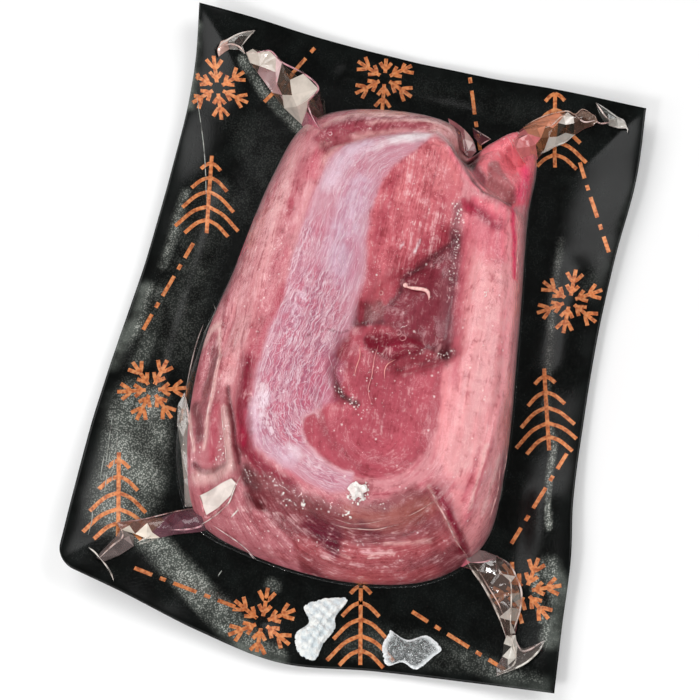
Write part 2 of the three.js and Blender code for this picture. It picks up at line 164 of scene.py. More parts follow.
def smooth_points(path: Path, per_span: int, closed: bool = False) -> Array:
    """Points along the centripetal curve through the places of a path.

    Args:
        path: The path, in two or three coordinates.
        per_span: How many points each stretch between two places gets.
        closed: Whether the curve ends where it starts.

    Returns:
        The curve's points, with the last place included only on an open curve.
    """
    knots = places(path)
    count = len(knots)
    parts = []
    for span in range(count if closed else count - 1):
        before, start, end, after = (knots[(span + step) % count] for step in (-1, 0, 1, 2))
        if not closed and span == 0:
            before = 2 * knots[0] - knots[1]
        if not closed and span == count - 2:
            after = 2 * knots[-1] - knots[-2]
        first, middle, last = (
            max(float(np.sum((b - a) ** 2)) ** 0.25, 1e-4)
            for a, b in ((before, start), (start, end), (end, after))
        )
        leave = (start - before) / first - (end - before) / (first + middle) + (end - start) / middle
        arrive = (end - start) / middle - (after - start) / (middle + last) + (after - end) / last
        leave, arrive = leave * middle, arrive * middle
        share = np.arange(per_span)[:, None] / per_span
        parts.append(start + leave * share + (3 * (end - start) - 2 * leave - arrive) * share**2
                     + (2 * (start - end) + leave + arrive) * share**3)
    return np.concatenate(parts if closed else [*parts, knots[-1:]])


def even_points(curve: Array, shares: Array) -> Array:
    """Points of a dense curve.

    Args:
        curve: The curve's own points.
        shares: How far along it each wanted point lies, from 0 to 1.

    Returns:
        The wanted points.
    """
    steps = np.linalg.norm(np.diff(curve, axis=0), axis=1)
    lengths = np.concatenate([[0], np.cumsum(steps)])
    wanted = np.asarray(shares, float) * lengths[-1]
    return np.stack([np.interp(wanted, lengths, part) for part in curve.T], -1)


def path_distance(x: Array, y: Array, path: Path) -> Array:
    """How far places lie from a path.

    Args:
        x: The places across the pack.
        y: The places along the pack.
        path: The path, of straight stretches.

    Returns:
        The distance of each place to the nearest stretch.
    """
    path = places(path)
    nearest = np.full(np.shape(x), np.inf)
    for (ax, ay), (bx, by) in zip(path[:-1], path[1:]):
        dx, dy = bx - ax, by - ay
        along = np.clip(((x - ax) * dx + (y - ay) * dy) / (dx * dx + dy * dy), 0, 1)
        nearest = np.minimum(nearest, np.hypot(x - ax - along * dx, y - ay - along * dy))
    return nearest


def path_frame(x: Array, y: Array, path: Array) -> tuple[Array, Array, Array]:
    """Where places lie along and across a path.

    Args:
        x: The places across the pack.
        y: The places along the pack.
        path: The dense path.

    Returns:
        The length along the path, the distance to its left, and the path's direction there in radians.
    """
    nearest = np.full(np.shape(x), np.inf)
    along, across, heading = (np.zeros(np.shape(x)) for _ in range(3))
    length = 0.0
    for (ax, ay), (bx, by) in zip(path[:-1], path[1:]):
        dx, dy = bx - ax, by - ay
        size = math.hypot(dx, dy)
        share = np.clip(((x - ax) * dx + (y - ay) * dy) / size**2, 0, 1)
        distance = np.hypot(x - ax - share * dx, y - ay - share * dy)
        closer = distance < nearest
        nearest = np.where(closer, distance, nearest)
        along = np.where(closer, length + share * size, along)
        across = np.where(closer, np.sign(dx * (y - ay) - dy * (x - ax)) * distance, across)
        heading = np.where(closer, math.atan2(dy, dx), heading)
        length += size
    return along, across, heading


def inside_depth(x: Array, y: Array, outline: Array) -> Array:
    """How far inside a closed outline places lie.

    Args:
        x: The places across the pack.
        y: The places along the pack.
        outline: The outline's points in turn.

    Returns:
        The depth of each place, negative outside.
    """
    closed = np.concatenate([outline, outline[:1]])
    crossings = np.zeros(np.shape(x), int)
    for (ax, ay), (bx, by) in zip(closed[:-1], closed[1:]):
        if ay != by:
            crossings += ((ay > y) != (by > y)) & (x < (bx - ax) * (y - ay) / (by - ay) + ax)
    return np.where(crossings % 2 == 1, 1.0, -1.0) * path_distance(x, y, closed)


class Grain:
    """Smooth random unevenness over a plane, alike on each run."""

    SIDE = 256

    def __init__(self, seed: int) -> None:
        """Draws the slopes of the unevenness from a seed."""
        turns = np.random.default_rng(seed).uniform(0, 2 * math.pi, (self.SIDE, self.SIDE))
        self.east, self.north = np.cos(turns), np.sin(turns)

    def at(self, x: Array, y: Array) -> Array:
        """The unevenness at places.

        Args:
            x: The places across, counted in widths of a bump.
            y: The places along, counted in the same way.

        Returns:
            The unevenness, from about -1 to 1.
        """
        x, y = np.broadcast_arrays(np.asarray(x, float), np.asarray(y, float))
        column, row = np.floor(x).astype(int), np.floor(y).astype(int)
        fx, fy = x - column, y - row
        ease_x, ease_y = (f**3 * (f * (f * 6 - 15) + 10) for f in (fx, fy))

        def corner(i: int, j: int) -> Array:
            """The slope of one corner, carried to the places."""
            at = ((column + i) % self.SIDE, (row + j) % self.SIDE)
            return self.east[at] * (fx - i) + self.north[at] * (fy - j)

        low = corner(0, 0) * (1 - ease_x) + corner(1, 0) * ease_x
        high = corner(0, 1) * (1 - ease_x) + corner(1, 1) * ease_x
        return 1.5 * (low * (1 - ease_y) + high * ease_y)

    def layered(self, x: Array, y: Array, layers: int = 3) -> Array:
        """Several scales of the unevenness, each half as wide and half as strong as the last."""
        return sum(self.at(x * 2**k + 17 * k, y * 2**k - 11 * k) / 2**k for k in range(layers))

    def waves(self, x: Array, y: Array, size: float | Place, layers: int = 3) -> Array:
        """The layered unevenness in millimetres.

        Args:
            x: The places across.
            y: The places along.
            size: How wide the broadest bumps are, in both directions or across and along.
            layers: How many scales are laid over each other.

        Returns:
            The unevenness, from about -1 to 1.
        """
        across, along = np.broadcast_to(size, 2)
        return self.layered(x / across, y / along, layers)


@dataclass(frozen=True)
class Ridge:
    """A rounded form along a path, which sinks where its rise is negative."""

    path: Path
    width: float
    rise: float

    def at(self, x: Array, y: Array) -> Array:
        """Its height at each place."""
        return self.rise * np.exp(-((path_distance(x, y, self.path) / self.width) ** 2))


def relief(x: Array, y: Array, ridges: Sequence[Ridge]) -> Array:
    """The sum of all forms of a list at each place."""
    return sum(ridge.at(x, y) for ridge in ridges)


@dataclass
class PouchForm:
    """Where the backing lies and how high: the surface that spans the pouch's four edges."""

    top_left: Path = "-123,159,14"
    top_right: Path = "116,152,12"
    bottom_right: Path = "125,-149,9"
    bottom_left: Path = "-120,-140,16"
    top_knots: Path = "-102,160,9 -58,157,5 -14,155,4 29,154,5 71,154,8"
    bottom_knots: Path = "-87,-147,12 -46,-157,8 -5,-163,5 40,-157,3 90,-152,5"
    left_knots: Path = "-121,-110,13 -122,-68,8 -120,-25,6 -117,18,6 -116,62,7 -116,102,8 -118,129,10"
    right_knots: Path = "123,-119,8 121,-85,9 117,-56,8 115,-15,6 114,26,6 115,69,8 118,113,10"
    waves: tuple[Ridge, ...] = (
        Ridge("-98,60 -101,0 -100,-60", 9, 2.2),
        Ridge("-60,-140 -20,-148", 8, 2.4),
        Ridge("98,60 100,10", 8, 2.2),
        Ridge("104,-60 106,-100", 7, 1.8),
        Ridge("-40,143 30,142", 6, 1.6),
    )
    width: float = 250
    length: float = 320
    thickness: float = 0.6
    edge_points: int = 60
    search_steps: int = 9
    flat_half_width: float = 0.7
    flat_half_length: float = 0.84
    squareness: float = 5
    corner_radius: float = 9
    small_rise: float = 0.55
    small_wave: float = 24
    seed: int = 31

    def __post_init__(self) -> None:
        """Draws the four edges as dense curves."""
        self.top = self.edge(self.top_left, self.top_knots, self.top_right)
        self.bottom = self.edge(self.bottom_left, self.bottom_knots, self.bottom_right)
        self.left = self.edge(self.bottom_left, self.left_knots, self.top_left)
        self.right = self.edge(self.bottom_right, self.right_knots, self.top_right)
        self.unevenness = Grain(self.seed)

    def edge(self, start: Path, knots: Path, end: Path) -> Array:
        """One edge of the pouch as a dense curve."""
        return smooth_points(f"{start} {knots} {end}", self.edge_points)

    def spanned(self, u: Array, v: Array) -> Array:
        """The surface that spans the edges.

        Args:
            u: The shares across the pouch, from 0 to 1.
            v: The shares along it.

        Returns:
            The place of each pair of shares.
        """
        u, v = np.asarray(u, float)[..., None], np.asarray(v, float)[..., None]
        across = even_points(self.bottom, u[..., 0]) * (1 - v) + even_points(self.top, u[..., 0]) * v
        along = even_points(self.left, v[..., 0]) * (1 - u) + even_points(self.right, v[..., 0]) * u
        near = places(self.bottom_left)[0] * (1 - u) + places(self.bottom_right)[0] * u
        far = places(self.top_left)[0] * (1 - u) + places(self.top_right)[0] * u
        return across + along - (near * (1 - v) + far * v)

    def margin(self, u: Array, v: Array) -> Array:
        """How far out of the flat middle places are.

        Args:
            u: The shares across the pouch.
            v: The shares along it.

        Returns:
            0 where a place lies on the table, and up to 1 at the edge.
        """
        across, along = np.abs(2 * u - 1), np.abs(2 * v - 1)
        power = self.squareness
        scaled = (across / self.flat_half_width) ** power + (along / self.flat_half_length) ** power
        scaled = scaled ** (1 / power)
        at_edge = scaled / np.maximum(np.maximum(across, along), 1e-9)
        return np.where(scaled <= 1, 0, (scaled - 1) / np.maximum(at_edge - 1, 1e-9))

    def rounded(self, u: Array, v: Array) -> tuple[Array, Array]:
        """The same shares with the near left corner of the sheet rounded off.

        Args:
            u: The shares across the pouch.
            v: The shares along it.

        Returns:
            The new shares across and along.
        """
        x, y = self.corner_radius - u * self.width, self.corner_radius - v * self.length
        reach = np.maximum(np.hypot(x, y), 1e-9)
        scale = np.where((x > 0) & (y > 0), np.maximum(x, y) / reach, 1)
        return (self.corner_radius - x * scale) / self.width, (self.corner_radius - y * scale) / self.length

    def underside(self, u: Array, v: Array) -> Array:
        """The backing's underside.

        Args:
            u: The shares across the pouch.
            v: The shares along it.

        Returns:
            The place of each pair of shares.
        """
        point = self.spanned(u, v)
        margin = self.margin(u, v)
        x, y = point[..., 0], point[..., 1]
        raised = relief(x, y, self.waves) * np.minimum(1, 3 * margin) * (1 - margin**2)
        small = self.unevenness.waves(x, y, self.small_wave, 1) * self.small_rise
        height = point[..., 2] * ramp(margin, 0, 1) + raised + small * np.minimum(1, 2 * margin)
        point[..., 2] = np.maximum(0, height)
        return point

    def locate(self, x: Array, y: Array) -> tuple[Array, Array]:
        """The shares across and along of places given by their coordinates.

        Args:
            x: The places across the pack.
            y: The places along the pack.

        Returns:
            The shares across and along.
        """
        u, v = np.full(np.shape(x), 0.5), np.full(np.shape(x), 0.5)
        for _ in range(self.search_steps):
            point = self.spanned(u, v)
            u = np.clip(u + (x - point[..., 0]) / self.width, -0.05, 1.05)
            v = np.clip(v + (y - point[..., 1]) / self.length, -0.05, 1.05)
        return u, v

    def top_at(self, x: Array, y: Array) -> Array:
        """The height of the backing's upper face."""
        u, v = self.locate(x, y)
        return self.underside(np.clip(u, 0, 1), np.clip(v, 0, 1))[..., 2] + self.thickness


@dataclass
class MeatForm:
    """The form of the meat under its film, from its outline on the backing up to its crest."""

    centre: Place = (4, 0)
    foot: Path = (
        "-55,107 -34,120 8,125 25,120 32,108 42,118 55,128 66,116 68,84 76,15 82,-50 79,-86 60,-107 "
        "20,-118 -32,-115 -62,-105 -79,-72 -80,-20 -73,20 -65,76"
    )
    crest: Path = (
        "-33,84 -10,93 14,98 30,88 47,76 55,50 61,14 64,-42 59,-68 40,-78 8,-82 -26,-75 -42,-58 -46,-20 "
        "-41,34 -37,66"
    )
    height: float = 44.5
    end_drop: float = 0.00034
    highest_y: float = -12
    wall: float = 3
    shoulder_round: float = 2.1
    shoulder_full: float = 1.5
    relief_onset: float = 2.5
    broad: tuple[Ridge, ...] = (
        Ridge("12,-8 20,8 28,30", 20, -9),
        Ridge("20,8 28,22", 9, 8),
        Ridge("6,-12 24,-7", 6.5, 6.5),
        Ridge("4,92 -20,66 -26,20 -30,-30 -18,-60 10,-76", 13, 2.2),
        Ridge("8,-48 26,-52", 17, 2.4),
        Ridge("10,78 12,52", 14, 1.5),
        Ridge("50,62 53,20 56,-30 52,-62", 7, 2.4),
        Ridge("14,105 28,92 42,79 54,73", 4, 2.6),
        Ridge("-68,-10 -70,-52 -60,-88", 13, -13),
        Ridge("-66,-30 -70,-66", 3.5, 4),
        Ridge("-45,-78 -52,-94 -58,-106", 4.5, 5),
        Ridge("-34,-104 10,-109 48,-101", 9, -5),
        Ridge("50,-73 56,-80 65,-89 73,-98", 4, 6.5),
        Ridge("52,106 58,114", 17, -14),
        Ridge("73,-22 70,-60 67,-82", 2.6, 2),
        Ridge("79,-34 77,-70 73,-90", 2.6, 2),
    )
    creases: tuple[Ridge, ...] = (
        Ridge("-1,2 6,20 12,29 24,38 34,54", 3.6, -3.6),
        Ridge("35,57 38,37 39,21 42,-3", 4.6, -3.0),
        Ridge("21,-17 35,-11 44,-2", 3.4, -5.5),
        Ridge("-2,-38 -9,-25 -7,-11", 3, -3.2),
        Ridge("-12,-40 -4,-56 14,-67 34,-66", 3, -1.4),
        Ridge("37,62 41,20 45,-20 47,-60", 6, -2.0),
        Ridge("-38,88 -14,101 14,107 26,102", 4, -4.5),
        Ridge("30,99 42,87 56,80 66,80", 5, -8),
        Ridge("32,104 33,112", 6, -14),
        Ridge("-58,-30 -54,-48 -46,-64 -41,-80 -30,-92", 4, -6),
        Ridge("-30,-92 -8,-99 12,-101 38,-92 50,-78", 5, -7),
        Ridge("56,-90 64,-100", 6, -5),
        Ridge("-70,-12 -66,-28 -65,-48 -64,-65", 1.7, 1.5),
        Ridge("-71,-22 -71,-36 -70,-48", 2.6, -1.4),
        Ridge("-58,-52 -54,-62 -50,-71 -47,-80", 2.2, 1.2),
        Ridge("-58,-42 -55,-49 -51,-58 -47,-70 -43,-78", 1.6, -1.8),
        Ridge("-67,-80 -63,-82 -60,-83 -56,-82 -51,-80", 1.6, -2.2),
        Ridge("-75,-55 -71,-65 -69,-73", 1.5, 1.4),
        Ridge("-50,-102 -43,-106 -36,-110 -32,-113", 2.6, -2.2),
        Ridge("-36,-92 -34,-96 -32,-100 -26,-106 -12,-112", 1.8, -1.6),
        Ridge("46,-71 50,-75 54,-80 59,-86 66,-92", 1.7, 1.6),
        Ridge("4,-96 12,-97 19,-96 26,-94 37,-90", 1.2, 0.8),
        Ridge("38,-87 44,-82 49,-78", 1.2, 0.8),
        Ridge("22,97 26,91 32,84 40,78", 1.6, 1.4),
        Ridge("37,83 43,79 49,78 57,80", 1.6, -2.0),
        Ridge("51,119 54,115 59,114 65,119", 1.4, 1.2),
        Ridge("66,50 68,38 71,10 74,-20", 2.0, 1.0),
    )

    def __post_init__(self) -> None:
        """Draws both outlines as tables of reach by direction."""
        self.foot_table = self.reach_table(self.foot)
        self.crest_table = self.reach_table(self.crest)

    def reach_table(self, outline: Path) -> tuple[Array, Array]:
        """How far an outline reaches from the centre.

        Args:
            outline: The closed outline.

        Returns:
            Directions in radians in rising order, and the reach in each.
        """
        curve = smooth_points(outline, 40, closed=True) - self.centre
        directions = np.arctan2(curve[:, 1], curve[:, 0])
        order = np.argsort(directions)
        return directions[order], np.hypot(curve[:, 0], curve[:, 1])[order]

    def reaches(self, direction: Array) -> tuple[Array, Array]:
        """How far the foot and the crest reach in each direction."""
        tables = (self.foot_table, self.crest_table)
        return tuple(np.interp(direction, *table, period=2 * math.pi) for table in tables)

    def inward(self, x: Array, y: Array) -> Array:
        """How far in from the foot places are.

        Args:
            x: The places across the pack.
            y: The places along the pack.

        Returns:
            0 at the foot, and up to 1 on the crest and within it.
        """
        dx, dy = x - self.centre[0], y - self.centre[1]
        foot, crest = self.reaches(np.arctan2(dy, dx))
        return np.clip((foot - np.hypot(dx, dy)) / (foot - crest), 0, 1)

    def height_at(self, x: Array, y: Array, crease_depth: float = 1.0) -> Array:
        """The height of the film's face over the meat, or of the meat with deeper creases.

        Args:
            x: The places across the pack.
            y: The places along the pack.
            crease_depth: How deep the creases are, as a share of their own depth.

        Returns:
            The height at each place.
        """
        inward = self.inward(x, y)
        shoulder = (1 - (1 - inward) ** self.shoulder_round) ** (1 / self.shoulder_full)
        top = self.height - self.end_drop * (y - self.highest_y) ** 2
        forms = relief(x, y, self.broad) + crease_depth * relief(x, y, self.creases)
        rise = (top - self.wall) * shoulder + forms * np.minimum(1, self.relief_onset * inward)
        return np.maximum(self.wall, self.wall + rise)


def row_metres(points: Array) -> Array:
    """Places of the drawing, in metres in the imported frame."""
    return (np.asarray(points, float) - (*POUCH_MIDDLE, 0)) * MM


def new_object(name: str, points: list, edges: Faces, faces: Faces) -> Thing:
    """A new object in the scene.

    Args:
        name: The object's name.
        points: The places of its vertices, in metres.
        edges: The ends of its bare edges.
        faces: The corner numbers of its faces.

    Returns:
        The object, at the origin.
    """
    mesh = bpy.data.meshes.new(name)
    mesh.from_pydata(points, edges, faces)
    thing = bpy.data.objects.new(name, mesh)
    bpy.context.scene.collection.objects.link(thing)
    return thing


def mesh_object(name: str, points: Array, faces: Faces, smooth: bool = True) -> Thing:
    """A new object from places of the drawing.

    Args:
        name: The object's name.
        points: The places of its vertices, in the drawing's millimetres.
        faces: The corner numbers of each face.
        smooth: Whether its faces are shaded as one smooth surface.

    Returns:
        The object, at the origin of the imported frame.
    """
    thing = new_object(name, row_metres(points).tolist(), [], [tuple(face) for face in faces])
    thing.data.validate()
    if smooth:
        thing.data.shade_smooth()
    return thing


def set_field(thing: Thing, name: str, values: Array, domain: str = "POINT") -> None:
    """Stores a number, a vector or a colour for each vertex or face of an object.

    Args:
        thing: The object.
        name: The attribute's name, which its material reads.
        values: One number, three numbers or four numbers for each.
        domain: What the values belong to.
    """
    values = np.asarray(values, np.float32)
    parts = 1 if values.ndim == 1 else values.shape[1]
    kind, key = {1: ("FLOAT", "value"), 3: ("FLOAT_VECTOR", "vector"), 4: ("FLOAT_COLOR", "color")}[parts]
    thing.data.attributes.new(name, kind, domain).data.foreach_set(key, values.ravel())


class NodeTree:
    """A tree of nodes, with short ways to add them and to join them."""

    prefix = "ShaderNode"

    def __init__(self, tree: bpy.types.NodeTree) -> None:
        """Takes up a tree and empties it."""
        self.tree = tree
        self.tree.nodes.clear()

    def feed(self, socket: Socket, value: object) -> None:
        """Joins a socket to another, or sets its value.

        Args:
            socket: The input.
            value: The output that it reads, a node whose first output it reads, or a value. Three numbers
                for a colour are a screen colour of 255.
        """
        value = value.value if isinstance(value, Enum) else value
        value = value.outputs[0] if isinstance(value, Node) else value
        if isinstance(value, Socket):
            self.tree.links.new(value, socket)
        elif socket.type == "RGBA" and len(value) == 3:
            socket.default_value = (*light_of(value), 1)
        else:
            socket.default_value = value

    def add(self, kind: str, settings: dict | None = None, **inputs: object) -> Node:
        """A new node.

        Args:
            kind: Its type, without the first words that the tree's own types share.
            settings: Its own settings by name.
            **inputs: Values or sockets by the name of its input, with _ for a space.

        Returns:
            The node.
        """
        node = self.tree.nodes.new(kind if "Node" in kind else self.prefix + kind)
        for key, value in (settings or {}).items():
            setattr(node, key, value)
        for key, value in inputs.items():
            self.feed(node.inputs[key.replace("_", " ")], value)
        return node

    def joined(self, node: Node, *values: object) -> Socket:
        """Feeds a node's inputs in turn.

        Args:
            node: The node.
            *values: What its inputs get.

        Returns:
            Its first output.
        """
        for socket, value in zip(node.inputs, values):
            self.feed(socket, value)
        return node.outputs[0]

    def math(self, operation: str, *values: object) -> Socket:
        """The result of a sum or another operation."""
        return self.joined(self.add("ShaderNodeMath", {"operation": operation}), *values)

    def vector(self, operation: str, *values: object) -> Socket:
        """The result of an operation on vectors."""
        return self.joined(self.add("ShaderNodeVectorMath", {"operation": operation}), *values)

    def scaled(self, vector: Socket, size: object) -> Socket:
        """A vector made longer or shorter."""
        return self.add("ShaderNodeVectorMath", {"operation": "SCALE"}, Vector=vector, Scale=size).outputs[0]

    def times(self, first: object, second: object) -> Socket:
        """The product of two numbers."""
        return self.math("MULTIPLY", first, second)

    def line(self, value: object, slope: object, start: object) -> Socket:
        """A number times a slope, with a start added."""
        return self.math("MULTIPLY_ADD", value, slope, start)


class Shader(NodeTree):
    """A material's node tree."""

    def __init__(self, name: str) -> None:
        """Starts an empty material of a name."""
        self.material = bpy.data.materials.new(name)
        self.material.use_nodes = True
        super().__init__(self.material.node_tree)

    def mix(self, share: object, first: object, second: object, blend: str = "MIX") -> Socket:
        """Two colours mixed.

        Args:
            share: How much the second shows.
            first: The first colour.
            second: The second colour.
            blend: The way of mixing.

        Returns:
            The colour.
        """
        node = self.add("Mix", {"data_type": "RGBA", "blend_type": blend})
        for index, value in ((0, share), (6, first), (7, second)):
            self.feed(node.inputs[index], value)
        return node.outputs[2]

    def span(self, value: Socket, low: float, high: float, start: float = 0.0, end: float = 1.0) -> Socket:
        """A value carried from one span of numbers to another, and held within it.

        Args:
            value: The value.
            low: Where the first span starts.
            high: Where it ends.
            start: Where the second span starts.
            end: Where it ends.

        Returns:
            The new value.
        """
        node = self.add("MapRange", {"interpolation_type": "SMOOTHSTEP"})
        return self.joined(node, value, low, high, start, end)

    def noise(self, vector: Socket, scale: float, detail: float = 2.0, roughness: float = 0.5,
              output: str = "Fac") -> Socket:
        """Soft random spots, from 0 to 1.

        Args:
            vector: The places.
            scale: How many spots lie in one unit.
            detail: How many finer scales are laid over them.
            roughness: How strong the finer scales are.
            output: The output, as a number or as a colour.

        Returns:
            The spots.
        """
        node = self.add("TexNoise", Vector=vector, Scale=scale, Detail=detail, Roughness=roughness)
        return node.outputs[output]

    def cells(self, vector: Socket, scale: float, feature: str = "F1") -> Node:
        """Random cells."""
        return self.add("TexVoronoi", {"feature": feature}, Vector=vector, Scale=scale)

    def streaks(self, vector: Socket, along: float, across: float, detail: float = 3.0,
                roughness: float = 0.6) -> Socket:
        """Soft random streaks, from 0 to 1.

        Args:
            vector: The places, in millimetres along and across the fibres.
            along: How many streaks lie in a millimetre along the fibres.
            across: How many lie across them.
            detail: How many finer scales are laid over them.
            roughness: How strong the finer scales are.

        Returns:
            The streaks.
        """
        scaled = self.add("Mapping", Vector=vector, Scale=(along, across, 1)).outputs[0]
        return self.noise(scaled, 1.0, detail, roughness)

    def attribute(self, name: str, output: str = "Fac") -> Socket:
        """A field of the piece's own mesh."""
        return self.add("Attribute", {"attribute_name": name}).outputs[output]

    def place(self) -> Socket:
        """The place on the piece, in metres."""
        return self.add("TexCoord").outputs["Object"]

    def bump(self, height: Socket, depth_mm: float, strength: float = 1.0) -> Socket:
        """The surface's direction with a height laid over it."""
        return self.add("Bump", Height=height, Strength=strength, Distance=depth_mm * MM).outputs["Normal"]

    def clear(self, red: float, green: float, blue: float) -> Socket:
        """A see-through surface."""
        return self.add("BsdfTransparent", Color=(red, green, blue, 1)).outputs[0]

    def gloss(self, roughness: float, normal: Socket) -> Socket:
        """A plain mirroring surface."""
        return self.add("BsdfGlossy", Color=(1, 1, 1, 1), Roughness=roughness, Normal=normal).outputs[0]

    def solid(self, tint: Socket, roughness: float, **inputs: object) -> Socket:
        """A solid surface."""
        return self.add("BsdfPrincipled", Base_Color=tint, Roughness=roughness, **inputs).outputs[0]

    def over(self, share: object, lower: Socket, upper: Socket) -> Socket:
        """One surface laid over another."""
        return self.joined(self.add("MixShader"), share, lower, upper)

    def sheer(self, normal: Socket, facing_on: float) -> Socket:
        """How much a thin clear film mirrors, the same from both sides: little face on, all edge on."""
        edge = self.add("LayerWeight", Blend=0.5, Normal=normal).outputs["Facing"]
        return self.line(self.math("POWER", edge, 5.0), 1 - facing_on, facing_on)

    def finish(self, surface: Socket) -> Finish:
        """Ends the material with its surface."""
        self.add("OutputMaterial", Surface=surface)
        return self.material


@dataclass(frozen=True)
class BlackFilmFinish:
    """Black film with fine pebbles and smooth seals along its sides, with grey shine and pale pebble glints
    painted along streaks of its gloss.
    """

    black: Colour = (9, 11, 10)
    worn: Colour = (20, 23, 22)
    # Painted pebble glints and painted grey shine, both along the backing's streaks.
    painted_glint: Colour = (190, 194, 186)
    painted_sheen_grey: Colour = (92, 97, 92)
    roughness: float = 0.22
    specular: float = 0.2
    pebbles_per_metre: float = 1250

    def material(self) -> Finish:
        """The finish as a material."""
        shader = Shader("black_film")
        place = shader.place()
        pebbles = shader.cells(place, self.pebbles_per_metre)
        dots = shader.times(shader.span(pebbles.outputs["Distance"], 0.6, 0.3),
                            shader.span(pebbles.outputs["Color"], 0.05, 0.6))
        dots = shader.times(dots, shader.line(shader.attribute("seal"), -0.85, 1.0))
        cloud = shader.noise(place, 75, 3, 0.6)
        # Painted highlight: lit says how strongly shine is painted in along the backing's streaks.
        lit = shader.times(shader.attribute("sheen"), shader.span(cloud, 0.34, 0.64, 0.5, 1.2))
        tint = shader.mix(shader.span(cloud, 0.35, 0.68), self.black, self.worn)
        # Painted shine: the black turns grey along the streaks.
        tint = shader.mix(shader.times(shader.math("POWER", lit, 1.3), 0.9), tint, self.painted_sheen_grey)
        # Painted glints: pebbles turn pale along the streaks, and very faintly everywhere.
        glints = shader.times(dots, shader.line(shader.math("POWER", lit, 1.4), 0.8, 0.006))
        normal = shader.bump(shader.line(dots, 0.5, shader.times(cloud, 0.8)), 0.07, 0.5)
        return shader.finish(shader.solid(shader.mix(glints, tint, self.painted_glint), self.roughness,
                                          Specular_IOR_Level=self.specular, Normal=normal))


@dataclass(frozen=True)
class CopperFinish:
    """Copper ink on the film, with the film's pebbles through it and paler worn spots."""

    copper: Colour = (208, 120, 66)
    deep: Colour = (150, 74, 38)
    pale: Colour = (228, 158, 106)

    def material(self) -> Finish:
        """The finish as a material."""
        shader = Shader("copper_print")
        place = shader.place()
        pebbles = shader.cells(place, 820, "SMOOTH_F1").outputs["Distance"]
        tint = shader.mix(shader.span(shader.noise(place, 420, 3), 0.35, 0.65), self.deep, self.copper)
        tint = shader.mix(shader.span(pebbles, 0.25, 0.7, 0.0, 0.6), tint, self.pale)
        return shader.finish(shader.solid(tint, 0.38, Metallic=0.25, Normal=shader.bump(pebbles, 0.15, 0.6)))


